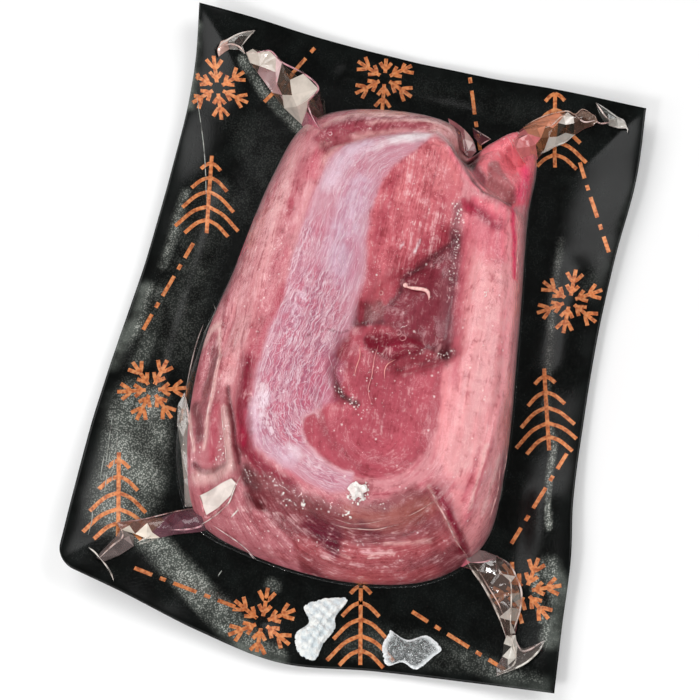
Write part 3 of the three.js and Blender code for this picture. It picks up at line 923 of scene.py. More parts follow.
@dataclass(frozen=True)
class MeatFinish:
    """Wet meat: its painted fields of colour, broken up by fibres, mottling, threads and grains of frost,
    with pale glints painted along its fibres.
    """

    roughness: float = 0.5
    specular: float = 0.14
    thread: Colour = (238, 218, 228)
    pale: Colour = (238, 186, 190)
    grain_of_frost: Colour = (250, 240, 238)
    # The colour of painted glints along the fibres.
    painted_glint: Colour = (246, 206, 204)

    def material(self) -> Finish:
        """The finish as a material."""
        shader = Shader("meat")
        place = shader.place()
        tone = shader.attribute("tone", "Color")
        ragged, fibrous = shader.attribute("ragged"), shader.attribute("fibrous")
        drift = shader.scaled(shader.noise(place, 45, 1, output="Color"), 3.0)
        curl = shader.scaled(shader.noise(place, 210, 2, output="Color"), shader.line(ragged, 3.2, 0.8))
        fibre = shader.vector("ADD", shader.attribute("fibre", "Vector"), drift)
        flow = shader.vector("ADD", shader.vector("ADD", shader.attribute("flow", "Vector"), drift), curl)
        broad = shader.streaks(fibre, 0.018, 0.35)
        strands = shader.streaks(fibre, 0.05, 1.25, 3, 0.65)
        webs = shader.streaks(flow, 0.05, 0.6)
        hairs = shader.streaks(flow, 0.06, 1.9)
        marks = shader.streaks(fibre, 0.3, 1.5, 2, 0.5)
        blots, grains = shader.noise(place, 150, 4, 0.6), shader.noise(place, 640, 3, 0.6)
        tint = self.muscle(shader, tone, fibrous, marks, (strands, broad, blots, grains))
        skin = self.skin(shader, tone, ragged, (hairs, webs, blots))
        mask = shader.attribute("silver")
        for pattern, more, least in ((blots, 11.0, 1.6), (webs, 8.0, 1.2)):
            mask = shader.line(shader.math("SUBTRACT", pattern, 0.5), shader.line(ragged, more, least), mask)
        tint = shader.mix(shader.span(mask, -0.45, 0.45), tint, skin)
        tint = self.frost(shader, place, tint, shader.attribute("frosted"))
        height = shader.math("ADD", shader.line(strands, 0.8, shader.times(grains, 0.4)), broad)
        return shader.finish(shader.solid(tint, self.roughness, Specular_IOR_Level=self.specular,
                                          Normal=shader.bump(height, 0.4, 0.7)))

    def muscle(self, shader: Shader, tone: Socket, fibrous: Socket, marks: Socket,
               patterns: Sequence[Socket]) -> Socket:
        """The colour of the bare muscle: darker between its fibres and paler on them.

        Args:
            shader: The material's tree.
            tone: The painted colour.
            fibrous: How strongly the fibres show.
            marks: Short marks along the fibres, with painted highlights where high and dark where low.
            patterns: The fibres, broad streaks along them, broad mottling and fine mottling.

        Returns:
            The colour.
        """
        depth: object = 0.5
        for pattern, more, least in zip(patterns, (0.9, 0.7, 0.5, 0.3), (0.55, 0.4, 1.0, 0.6)):
            strength = shader.line(fibrous, more, least)
            depth = shader.line(shader.math("SUBTRACT", pattern, 0.5), strength, depth)
        deep = shader.mix(1.0, tone, (0.66, 0.43, 0.47, 1), "MULTIPLY")
        tint = shader.mix(shader.span(depth, 0.16, 0.5), deep, tone)
        tint = shader.mix(shader.span(depth, 0.54, 0.92, 0.0, 0.55), tint, self.pale)
        nicks = shader.times(shader.span(marks, 0.41, 0.34), shader.span(patterns[2], 0.52, 0.42))
        tint = shader.mix(shader.times(nicks, 0.6), tint, deep)
        # Painted highlights: small pale glints along the fibres, fainter where the fibres show less.
        glints = shader.times(shader.span(marks, 0.6, 0.67), shader.span(patterns[2], 0.48, 0.6))
        return shader.mix(shader.times(glints, shader.line(fibrous, 0.55, 0.2)), tint, self.painted_glint)

    def skin(self, shader: Shader, tone: Socket, ragged: Socket, patterns: Sequence[Socket]) -> Socket:
        """The colour of the silverskin: lilac, with white threads and pink gaps where it is torn.

        Args:
            shader: The material's tree.
            tone: The painted colour.
            ragged: How torn it is.
            patterns: Fine hairs, broader webs and broad mottling.

        Returns:
            The colour.
        """
        hairs, webs, blots = patterns
        torn = shader.times(shader.span(blots, 0.44, 0.6), shader.line(ragged, 0.72, 0.12))
        gaps = shader.times(shader.span(webs, 0.53, 0.42), shader.line(ragged, 0.8, 0.1))
        threads = shader.times(shader.span(hairs, 0.53, 0.61), shader.line(ragged, 0.4, 0.25))
        tint = shader.mix(torn, tone, Tone.SILVERSKIN_PINK)
        return shader.mix(threads, shader.mix(gaps, tint, Tone.SILVERSKIN_MAUVE), self.thread)

    def frost(self, shader: Shader, place: Socket, tint: Socket, frosted: Socket) -> Socket:
        """The colour with grains of frost scattered over it.

        Args:
            shader: The material's tree.
            place: The place on the piece.
            tint: The colour so far.
            frosted: How thick the grains lie.

        Returns:
            The colour.
        """
        for scale, common, size in ((300.0, 0.86, 0.12), (620.0, 0.9, 0.2)):
            speck = shader.cells(place, scale)
            chosen = shader.math("GREATER_THAN", speck.outputs["Color"], shader.line(frosted, -0.55, common))
            share = shader.times(chosen, shader.span(speck.outputs["Distance"], size + 0.1, size))
            tint = shader.mix(shader.times(share, shader.line(frosted, 0.35, 0.5)), tint, self.grain_of_frost)
        return tint


@dataclass(frozen=True)
class ClearFilmFinish:
    """Clear film drawn tight: see-through, with a soft gloss that breaks into small glints."""

    soft_roughness: float = 0.34
    sharp_roughness: float = 0.07

    def material(self) -> Finish:
        """The finish as a material."""
        shader = Shader("clear_film")
        place = shader.place()
        wrinkles = shader.noise(place, 420, 3, 0.65)
        normal = shader.bump(shader.line(shader.noise(place, 120), 1.8, wrinkles), 0.4, 0.8)
        soft, sharp = shader.gloss(self.soft_roughness, normal), shader.gloss(self.sharp_roughness, normal)
        clear, edge = shader.clear(0.985, 0.98, 0.975), shader.sheer(normal, 0.026)
        return shader.finish(shader.over(edge, clear, shader.over(0.5, soft, sharp)))


@dataclass(frozen=True)
class FrostFinish:
    """Opaque granular frost, darker in its hollows."""

    name: str = "white_frost"
    white: Colour = (230, 232, 229)
    hollow: Colour = (196, 206, 210)

    def material(self) -> Finish:
        """The finish as a material."""
        shader = Shader(self.name)
        place = shader.place()
        lumps = shader.noise(place, 320, 3)
        tint = shader.mix(shader.span(lumps, 0.35, 0.65), self.hollow, self.white)
        height = shader.line(lumps, 1.5, shader.noise(place, 1400, 3, 0.6))
        return shader.finish(shader.solid(tint, 0.55, Normal=shader.bump(height, 0.4, 0.9)))


@dataclass(frozen=True)
class ClearFrostFinish:
    """Glassy frost, white where it is thick at its rim."""

    white: tuple[float, ...] = (0.82, 0.85, 0.86, 1)

    def material(self) -> Finish:
        """The finish as a material."""
        shader = Shader("clear_frost")
        cracks = shader.noise(shader.place(), 600, 4, 0.65)
        normal = shader.bump(cracks, 0.5, 0.9)
        share = shader.line(shader.attribute("rim"), 0.75, shader.span(cracks, 0.5, 0.7, 0.05, 0.45))
        white = shader.add("BsdfDiffuse", Color=self.white, Normal=normal).outputs[0]
        body = shader.over(share, shader.clear(0.93, 0.95, 0.95), white)
        return shader.finish(shader.over(shader.sheer(normal, 0.05), body, shader.gloss(0.12, normal)))


@dataclass(frozen=True)
class FoldedFilmFinish:
    """Folded clear film: each facet with its own milky colour, which paints reflections into pale facets, all
    under one sharp gloss.
    """

    roughness: float = 0.09

    def material(self) -> Finish:
        """The finish as a material."""
        shader = Shader("folded_film")
        place = shader.place()
        normal = shader.bump(shader.noise(place, 260, 3, 0.6), 0.22, 0.8)
        milk_and_reflection = shader.add("BsdfDiffuse", Color=shader.attribute("stain", "Color"), Normal=normal).outputs[0]
        cloud = shader.span(shader.noise(place, 130, 3), 0.3, 0.7, 0.82, 1.15)
        haze = shader.times(shader.attribute("haze"), cloud)
        body = shader.over(haze, shader.clear(0.97, 0.955, 0.94), milk_and_reflection)
        gloss = shader.gloss(self.roughness, normal)
        return shader.finish(shader.over(shader.sheer(normal, 0.06), body, gloss))


@dataclass(frozen=True)
class RimFinish:
    """A folded edge of film, glossy, with a painted highlight along its length."""

    # The colour of the painted highlight along a fold.
    painted_highlight: tuple[float, ...] = (0.9, 0.84, 0.82, 1)

    def material(self) -> Finish:
        """The finish as a material."""
        shader = Shader("film_rim")
        place = shader.place()
        broken = shader.noise(place, 420, 3, 0.65)
        stain = shader.attribute("stain", "Color")
        # Painted highlight: the rim turns pale along much of its length.
        tint = shader.mix(shader.span(broken, 0.45, 0.75, 0.0, 0.6), stain, self.painted_highlight)
        body = shader.solid(tint, 0.12, Normal=shader.bump(broken, 0.2, 0.7))
        share = shader.span(shader.noise(place, 170), 0.35, 0.62, 0.12, 0.85)
        return shader.finish(shader.over(share, shader.clear(0.95, 0.93, 0.92), body))


@dataclass(frozen=True)
class TissueFinish:
    """Moist pale tissue, each thread in its own tone."""

    shade: tuple[float, ...] = (0.82, 0.66, 0.7, 1)

    def material(self) -> Finish:
        """The finish as a material."""
        shader = Shader("pale_tissue")
        stain = shader.attribute("stain", "Color")
        deep = shader.mix(1.0, stain, self.shade, "MULTIPLY")
        spots = shader.span(shader.noise(shader.place(), 700, 3), 0.35, 0.6)
        return shader.finish(shader.solid(shader.mix(spots, deep, stain), 0.4))


@dataclass(frozen=True)
class FloorFinish:
    """The pale floor, hardly uneven in its tone."""

    tones: tuple[tuple[float, ...], ...] = ((0.88, 0.88, 0.88, 1), (0.91, 0.91, 0.91, 1))

    def material(self) -> Finish:
        """The finish as a material."""
        shader = Shader("pale_floor")
        cloud = shader.span(shader.noise(shader.place(), 3), 0.3, 0.7)
        return shader.finish(shader.solid(shader.mix(cloud, *self.tones), 0.9))


class GeometryRecipe(NodeTree):
    """A Geometry Nodes tree with named inputs, which is run once on an object."""

    prefix = "GeometryNode"

    def __init__(self, name: str) -> None:
        """Starts a tree that takes and gives geometry."""
        super().__init__(bpy.data.node_groups.new(name, "GeometryNodeTree"))
        for way in ("INPUT", "OUTPUT"):
            self.tree.interface.new_socket("Geometry", in_out=way, socket_type="NodeSocketGeometry")
        self.start = self.add("NodeGroupInput")

    def size(self, name: str, kind: str = "NodeSocketFloat") -> Socket:
        """A new named input, as the socket that gives its value."""
        self.tree.interface.new_socket(name, in_out="INPUT", socket_type=kind)
        return self.start.outputs[name]

    def field(self, name: str, kind: str = "FLOAT") -> Node:
        """A field of the object's mesh."""
        return self.add("InputNamedAttribute", {"data_type": kind}, Name=name)

    def finish(self, geometry: Node) -> None:
        """Ends the tree: its instances become real and take the material of the input Finish.

        Args:
            geometry: The node that gives them.
        """
        real = self.add("RealizeInstances", Geometry=geometry)
        dressed = self.add("SetMaterial", Geometry=real, Material=self.size("Finish", "NodeSocketMaterial"))
        self.feed(self.add("NodeGroupOutput").inputs[0], dressed)

    def run(self, source: Thing, name: str, **values: object) -> Thing:
        """Runs the tree on an object, which is used up.

        Args:
            source: The object that the tree starts from.
            name: The name of the result.
            **values: The tree's inputs by name, with _ for a space.

        Returns:
            The result as a plain mesh object.
        """
        modifier = source.modifiers.new(name, "NODES")
        modifier.node_group = self.tree
        for item in self.tree.interface.items_tree:
            key = item.name.replace(" ", "_")
            if item.in_out == "INPUT" and key in values:
                modifier[item.identifier] = values[key]
        evaluated = source.evaluated_get(bpy.context.evaluated_depsgraph_get())
        mesh = bpy.data.meshes.new_from_object(evaluated)
        source.modifiers.remove(modifier)
        bpy.data.objects.remove(source)
        mesh.name = name
        thing = bpy.data.objects.new(name, mesh)
        bpy.context.scene.collection.objects.link(thing)
        return thing


def join_rules(piece: Thing, nodes: Sequence[str]) -> None:
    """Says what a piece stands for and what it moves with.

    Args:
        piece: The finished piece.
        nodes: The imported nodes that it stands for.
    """
    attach(piece, BODY)
    if nodes:
        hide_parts(*nodes)
    LOG.info("%s: %d faces", piece.name, len(piece.data.polygons))


def meat_rules(piece: Thing, finish: Finish | None = None) -> None:
    """Says of a piece that it stands for a part of the meat in its clear film.

    Args:
        piece: The finished piece.
        finish: Its finish, if it has none yet.
    """
    if finish:
        piece.data.materials.append(finish)
    join_rules(piece, ["meat_in_clear_film"])


@dataclass(frozen=True)
class Panel:
    """A soft light that faces the pack, in metres and watts."""

    name: str
    place: tuple[float, float, float]
    size: Place
    watts: float

    def build(self) -> None:
        """Makes the light."""
        light = bpy.data.lights.new(self.name, "AREA")
        light.shape = "RECTANGLE"
        light.size, light.size_y = self.size
        light.energy = self.watts
        thing = bpy.data.objects.new(self.name, light)
        bpy.context.scene.collection.objects.link(thing)
        thing.location = self.place
        thing.rotation_euler = Vector(self.place).to_track_quat("Z", "Y").to_euler()


@dataclass
class Studio:
    """A pale floor, soft lights and the camera at the photograph's angle."""

    azimuth: float = 12.5
    elevation: float = 75.5
    distance: float = 0.827
    aim: Place = (-0.0071, -0.0023)
    lens: float = 84.34
    sensor: float = 36.0
    floor_side: float = 6.0
    floor_drop: float = -0.05
    world_light: float = 0.15
    panels: tuple[Panel, ...] = (
        Panel("far_left", (-1.0, 0.6, 1.2), (1.1, 1.1), 13.0),
        Panel("near_left", (-0.95, -0.7, 0.75), (0.7, 0.45), 3.0),
        Panel("far_right", (0.95, 0.75, 1.2), (1.0, 1.0), 11.5),
        Panel("near", (0.4, -1.2, 1.0), (1.2, 0.6), 5.0),
        Panel("high_near", (0.1, -0.75, 1.5), (0.8, 0.5), 4.0),
        Panel("window", (-0.55, -0.95, 1.05), (0.22, 0.3), 6.2),
    )

    def build(self) -> None:
        """Makes everything round the object."""
        self.place_camera()
        self.lay_floor()
        self.light_room()
        for panel in self.panels:
            panel.build()
        view = bpy.context.scene.view_settings
        view.view_transform = "Standard"
        view.look = "None"

    def place_camera(self) -> None:
        """Sets up the camera."""
        camera = bpy.data.cameras.new("camera")
        camera.lens = self.lens
        camera.sensor_width = self.sensor
        camera.clip_start = 0.01
        thing = bpy.data.objects.new("camera", camera)
        bpy.context.scene.collection.objects.link(thing)
        turn, lift = math.radians(self.azimuth), math.radians(self.elevation)
        back = Vector((math.sin(turn) * math.cos(lift), -math.cos(turn) * math.cos(lift), math.sin(lift)))
        thing.location = Vector((*self.aim, 0)) + back * self.distance
        thing.rotation_euler = back.to_track_quat("Z", "Y").to_euler()
        bpy.context.scene.camera = thing

    def lay_floor(self) -> None:
        """Lays the floor just under the pack."""
        half = self.floor_side / 2 / MM
        corners = ((-half, -half), (half, -half), (half, half), (-half, half))
        corners = np.array([(x, y, self.floor_drop) for x, y in corners])
        floor = mesh_object("floor", corners, [(0, 1, 2, 3)], smooth=False)
        floor.data.materials.append(FloorFinish().material())

    def light_room(self) -> None:
        """Gives the room its dim light."""
        world = bpy.data.worlds.new("room")
        world.use_nodes = True
        background = world.node_tree.nodes["Background"]
        background.inputs["Color"].default_value = (1, 1, 1, 1)
        background.inputs["Strength"].default_value = self.world_light
        bpy.context.scene.world = world


@dataclass(frozen=True)
class Streak:
    """A streak along which grey shine and pale pebble glints are painted into the black film."""

    path: Path
    half_width: float
    strength: float
    edge: float = 5.0

    def at(self, x: Array, y: Array) -> Array:
        """How strong it is at each place, from 0 to 1."""
        distance = path_distance(x, y, smooth_points(self.path, 6))
        return self.strength * ramp(self.half_width - distance, -self.edge / 2, self.edge / 2)


@dataclass
class BackingFilm:
    """The black backing with its welded margins and the painted streaks of shine on it."""

    form: PouchForm
    columns: int = 190
    rows: int = 240
    seal_width: float = 6.5
    seal_edge: Place = (1.0, 0.6)
    end_seal: float = 1.6
    sheen_wave: float = 9
    sheen_spread: float = 0.25
    seed: int = 3
    # Streaks of painted highlight on the black film.
    streaks: tuple[Streak, ...] = (
        Streak("-86,-113 -80,-119 -62,-131 -43,-144 -29,-153 -17,-160 -9,-163", 6.2, 1.0, 7),
        Streak("-40,-146 -29,-153 -17,-160", 2.5, 0.6, 4),
        Streak("-102,-58 -99,-75 -97,-92 -98,-106", 15, 0.76, 12),
        Streak("-107,-72 -107,-90 -105,-106", 4, 0.5, 7),
        Streak("-106,58 -107,44 -107,30 -108,18", 2.2, 0.6, 4),
        Streak("-113,4 -113,-10 -117,-24 -120,-38", 3.6, 0.75, 6),
        Streak("-107,4 -105,-14 -108,-34", 4, 0.35, 6),
        Streak("87,76 89,44 93,12 96,-14", 1.6, 0.5, 3.5),
        Streak("99,-20 103,-30 103.5,-43 105,-58 108,-72", 1.3, 1.0, 1.6),
        Streak("112,-90 118,-100 121,-112 119,-124", 5.0, 0.8, 5),
        Streak("106,-94 108,-104 114,-116", 2.0, 0.7, 3),
        Streak("121,108 116,93 110,68 106,52", 5, 0.12, 8),
        Streak("-121,147 -119,134 -117,118 -115,104", 2.4, 0.7, 4),
        Streak("-95,137 -90,132 -80,122 -66,112 -57,106", 2.6, 0.6, 3),
        Streak("-80,98 -68,84 -76,60", 12, 0.08, 14),
        Streak("-92,60 -96,20 -92,-20", 12, 0.16, 14),
        Streak("83,-142 98,-145 118,-147", 5, 0.35, 6),
        Streak("28,-145 74,-142", 8, 0.2, 10),
        Streak("-18,-127 -16,-128", 3, 0.4, 3),
        Streak("0,140 50,138", 6, 0.05, 8),
    )

    def build(self) -> None:
        """Makes the backing and dresses it."""
        across = np.linspace(0, 1, self.columns + 1)
        along = np.linspace(0, 1, self.rows + 1)
        u, v = self.form.rounded(*(grid.ravel() for grid in np.meshgrid(across, along)))
        under = self.form.underside(u, v)
        x, y = under[:, 0], under[:, 1]
        upper = under + (0, 0, self.form.thickness)
        piece = mesh_object("film_backing", np.concatenate([upper, under]), self.faces())
        set_field(piece, "seal", np.tile(self.seal(u, v), 2))
        # The painted shine along the streaks, on the upper face only.
        sheen = np.max([streak.at(x, y) for streak in self.streaks], axis=0)
        sheen = sheen * (1 + self.sheen_spread * Grain(self.seed).waves(x, y, self.sheen_wave, 2))
        set_field(piece, "sheen", np.concatenate([sheen, np.zeros(len(u))]))
        piece.data.materials.append(BlackFilmFinish().material())
        join_rules(piece, ["backing_film"])

    def seal(self, u: Array, v: Array) -> Array:
        """How far places lie in the smooth seals along the sides.

        Args:
            u: The shares across the pouch.
            v: The shares along it.

        Returns:
            A share from 0 to 1 for each place.
        """
        sides = np.minimum(u, 1 - u) * self.form.width
        ends = np.minimum(v, 1 - v) * self.form.length
        within, beyond = self.seal_edge
        depth = np.minimum(sides, ends * self.end_seal)
        return 1 - ramp(depth, self.seal_width - within, self.seal_width + beyond)

    def faces(self) -> Faces:
        """The faces of both sides and of the cut edge."""
        stride = self.columns + 1
        under = stride * (self.rows + 1)
        cells = [row * stride + column for row in range(self.rows) for column in range(self.columns)]
        made = [(a, a + 1, a + 1 + stride, a + stride) for a in cells]
        made += [(under + a, under + a + stride, under + a + 1 + stride, under + a + 1) for a in cells]
        near = list(range(stride))
        right = [row * stride + self.columns for row in range(self.rows + 1)]
        far = [self.rows * stride + column for column in range(self.columns, -1, -1)]
        left = [row * stride for row in range(self.rows, -1, -1)]
        for line in (near, right, far, left):
            made += [(b, a, a + under, b + under) for a, b in zip(line, line[1:])]
        return made


class Motif(Enum):
    """The line motifs of the print, each drawn upright about its own middle."""

    FIR = "fir"
    CRYSTAL = "crystal"
    DASHES = "dashes"


@dataclass
class CopperPrint:
    """Copper line motifs on the backing: a fir, a snow crystal and rows of dashes, in staggered rows.

    The layout gives each motif's places, as x, y and a turn in degrees.
    """

    form: PouchForm
    meat: MeatForm
    line_width: float = 1.9
    step: float = 1.2
    lift: float = 0.06
    near_edge: float = 0.8
    under_meat: float = 0.02
    curve_points: int = 9
    layout: tuple[tuple[Motif, Path], ...] = (
        (Motif.FIR, "-95,62,10 -101,-100,14 72,136,12 96,-12,14 28,-134,12"),
        (Motif.CRYSTAL, "-104,118,20 -98,-46,-12 -20,143,8 97,44,0 103,-104,-10 -18,-146,4"),
        (Motif.DASHES, "-103,8,75 -58,-138,-8 -66,140,60 28,140,-70 100,96,-64 101,-58,70 76,-134,-20"),
    )

    def strokes(self, motif: Motif) -> list[list[Place]]:
        """The strokes of one motif.

        Args:
            motif: The motif.

        Returns:
            Its lines, in millimetres about its middle.
        """
        if motif is Motif.FIR:
            lines = [[(0, -22), (0, 20)]]
            for height, reach in ((16, 5), (8, 9), (0, 13), (-8, 16), (-15, 11)):
                for side in (-reach, reach):
                    tip, bend = (side, height - 0.75 * reach), (0.45 * side, height - 0.2 * reach)
                    lines.append([tip, bend, (0, height)])
            return lines
        if motif is Motif.CRYSTAL:
            arm = ([(0, 3), (0, 17)], [(-4, 15), (0, 10.5), (4, 15)], [(-3, 8.5), (0, 5), (3, 8.5)])
            spins = [Matrix.Rotation(math.radians(60 * turn), 2) for turn in range(6)]
            return [[tuple(spin @ Vector(point)) for point in line] for spin in spins for line in arm]
        dashes = ((-26, 9), (-13, 3), (-6, 12), (10, 3), (17, 9))
        return [[(start, 0), (start + length, 0)] for start, length in dashes]

    def recipe(self) -> GeometryRecipe:
        """The tree that lays a motif at each point and gives its lines their width."""
        made = GeometryRecipe("repeated_print")
        motif = made.add("ObjectInfo", Object=made.size("Motif", "NodeSocketObject")).outputs["Geometry"]
        half = made.times(made.size("Line Width"), 0.5)
        turn = made.add("ShaderNodeCombineXYZ", Z=made.field("turn"))
        turn = made.add("FunctionNodeEulerToRotation", Euler=turn)
        copies = made.add("InstanceOnPoints", Points=made.start, Instance=motif, Rotation=turn)
        lines = made.add("MeshToCurve", Mesh=made.add("RealizeInstances", Geometry=copies))
        even = made.add("ResampleCurve", {"mode": "LENGTH"}, Curve=lines, Length=made.size("Step"))
        level = made.add("SetCurveNormal", {"mode": "Z_UP"}, Curve=even)
        start, end = (made.add("ShaderNodeCombineXYZ", X=side) for side in (made.times(half, -1.0), half))
        band = made.add("CurvePrimitiveLine", Start=start, End=end)
        made.finish(made.add("CurveToMesh", Curve=level, Profile_Curve=band))
        return made

    def motif_object(self, motif: Motif) -> Thing:
        """A motif's lines as an object.

        Args:
            motif: The motif.

        Returns:
            The lines as bare edges, in metres about the origin.
        """
        points, edges = [], []
        for line in self.strokes(motif):
            curve = even_points(smooth_points(line, 8), np.linspace(0, 1, self.curve_points))
            start = len(points)
            points += [(x * MM, y * MM, 0) for x, y in curve]
            edges += [(start + i, start + i + 1) for i in range(len(curve) - 1)]
        return new_object(motif.value, points, edges, [])

    def build(self) -> None:
        """Makes the whole print, laid onto the backing and cut at its edges."""
        recipe, finish = self.recipe(), CopperFinish().material()
        parts = []
        for motif, spots in self.layout:
            x, y, turns = places(spots).T
            source = mesh_object(f"{motif.value}_places", np.column_stack([x, y, 0 * x]), [])
            set_field(source, "turn", np.radians(turns))
            shape = self.motif_object(motif)
            parts.append(recipe.run(source, f"print_{motif.value}", Motif=shape,
                                    Line_Width=self.line_width * MM, Step=self.step * MM, Finish=finish))
            bpy.data.objects.remove(shape)
        self.lay(parts, finish)

    def lay(self, parts: list[Thing], finish: Finish) -> None:
        """Lays the flat print onto the backing, without what lies off it or under the meat.

        Args:
            parts: The print's parts, which are used up.
            finish: The copper's finish.
        """
        points, faces = [], []
        for part in parts:
            start = len(points)
            points += [tuple(vertex.co) for vertex in part.data.vertices]
            faces += [tuple(start + i for i in face.vertices) for face in part.data.polygons]
            bpy.data.objects.remove(part)
        flat = np.array(points) / MM + (*POUCH_MIDDLE, 0)
        x, y = flat[:, 0], flat[:, 1]
        u, v = self.form.locate(x, y)
        inside = np.minimum(u, 1 - u) * self.form.width > self.near_edge
        inside &= np.minimum(v, 1 - v) * self.form.length > self.near_edge
        inside &= self.meat.inward(x, y) < self.under_meat
        flat[:, 2] = self.form.top_at(x, y) + self.lift
        kept = [face for face in faces if all(inside[i] for i in face)]
        used = sorted({i for face in kept for i in face})
        number = {old: new for new, old in enumerate(used)}
        piece = mesh_object("print_copper", flat[used], [tuple(number[i] for i in face) for face in kept])
        for face in piece.data.polygons:
            if face.normal.z < 0:
                face.flip()
        piece.data.update()
        piece.data.materials.append(finish)
        join_rules(piece, ["backing_film"])


@dataclass(frozen=True)
class Field:
    """A field of one colour on the meat, soft at its edge and wandering a little.

    The outline is closed where width is 0, and otherwise the field is a stroke of that half width along it.
    """

    tone: Tone
    outline: Path
    edge: float = 3.0
    strength: float = 1.0
    width: float = 0.0
    wander: float = 2.0
    slack: float = 4.0

    def at(self, x: Array, y: Array, warp: tuple[Array, Array]) -> Array:
        """How strongly the field shows.

        Args:
            x: The places across.
            y: The places along.
            warp: How far each place wanders, across and along.

        Returns:
            A share from 0 to 1 for each place.
        """
        px, py = x + warp[0] * self.wander, y + warp[1] * self.wander
        outline = places(self.outline)
        reach = self.width + self.edge + self.slack
        (left, low), (right, high) = outline.min(axis=0) - reach, outline.max(axis=0) + reach
        near = (px > left) & (px < right) & (py > low) & (py < high)
        if self.width:
            depth = self.width - path_distance(px[near], py[near], smooth_points(outline, 5))
        else:
            depth = inside_depth(px[near], py[near], smooth_points(outline, 3, closed=True))
        share = np.zeros(len(x))
        share[near] = self.strength * ramp(depth, -self.edge / 2, self.edge / 2)
        return share


SILVERSKIN_OUTLINE = (
    "11.5,104.5 3,105 -6.5,101 -15.5,95.5 -24.5,91 -31,85.5 -34.5,79 -36.5,69 -38.5,57 -39.5,46 -40,33.5 "
    "-41,21.5 -40,5.5 -42,-7 -43.5,-13.5 -44,-24 -45,-32.5 -44.8,-41 -42.8,-47 -40.2,-54 -39,-60 "
    "-37,-66.5 -34.5,-70.5 -29,-73 -22,-76 -14,-79.5 -5,-82.5 3.5,-83.5 10.5,-80.5 11,-75 10.5,-73 "
    "4.5,-73 -1.5,-71 -8,-67.5 -12.5,-64.5 -17,-59.5 -18,-55.5 -17,-51 -13.5,-48 -9.5,-43 -7.5,-39.5 "
    "-8,-32.5 -10,-25.5 -10.5,-19.5 -9.5,-13 -7,-7.5 -5.5,-3 -5,2 -5.5,9.5 -5,16 -4.5,22 -6,31 -7.5,40.5 "
    "-9,55 -8,67 -5,77 0,85.5 7.5,94"
)
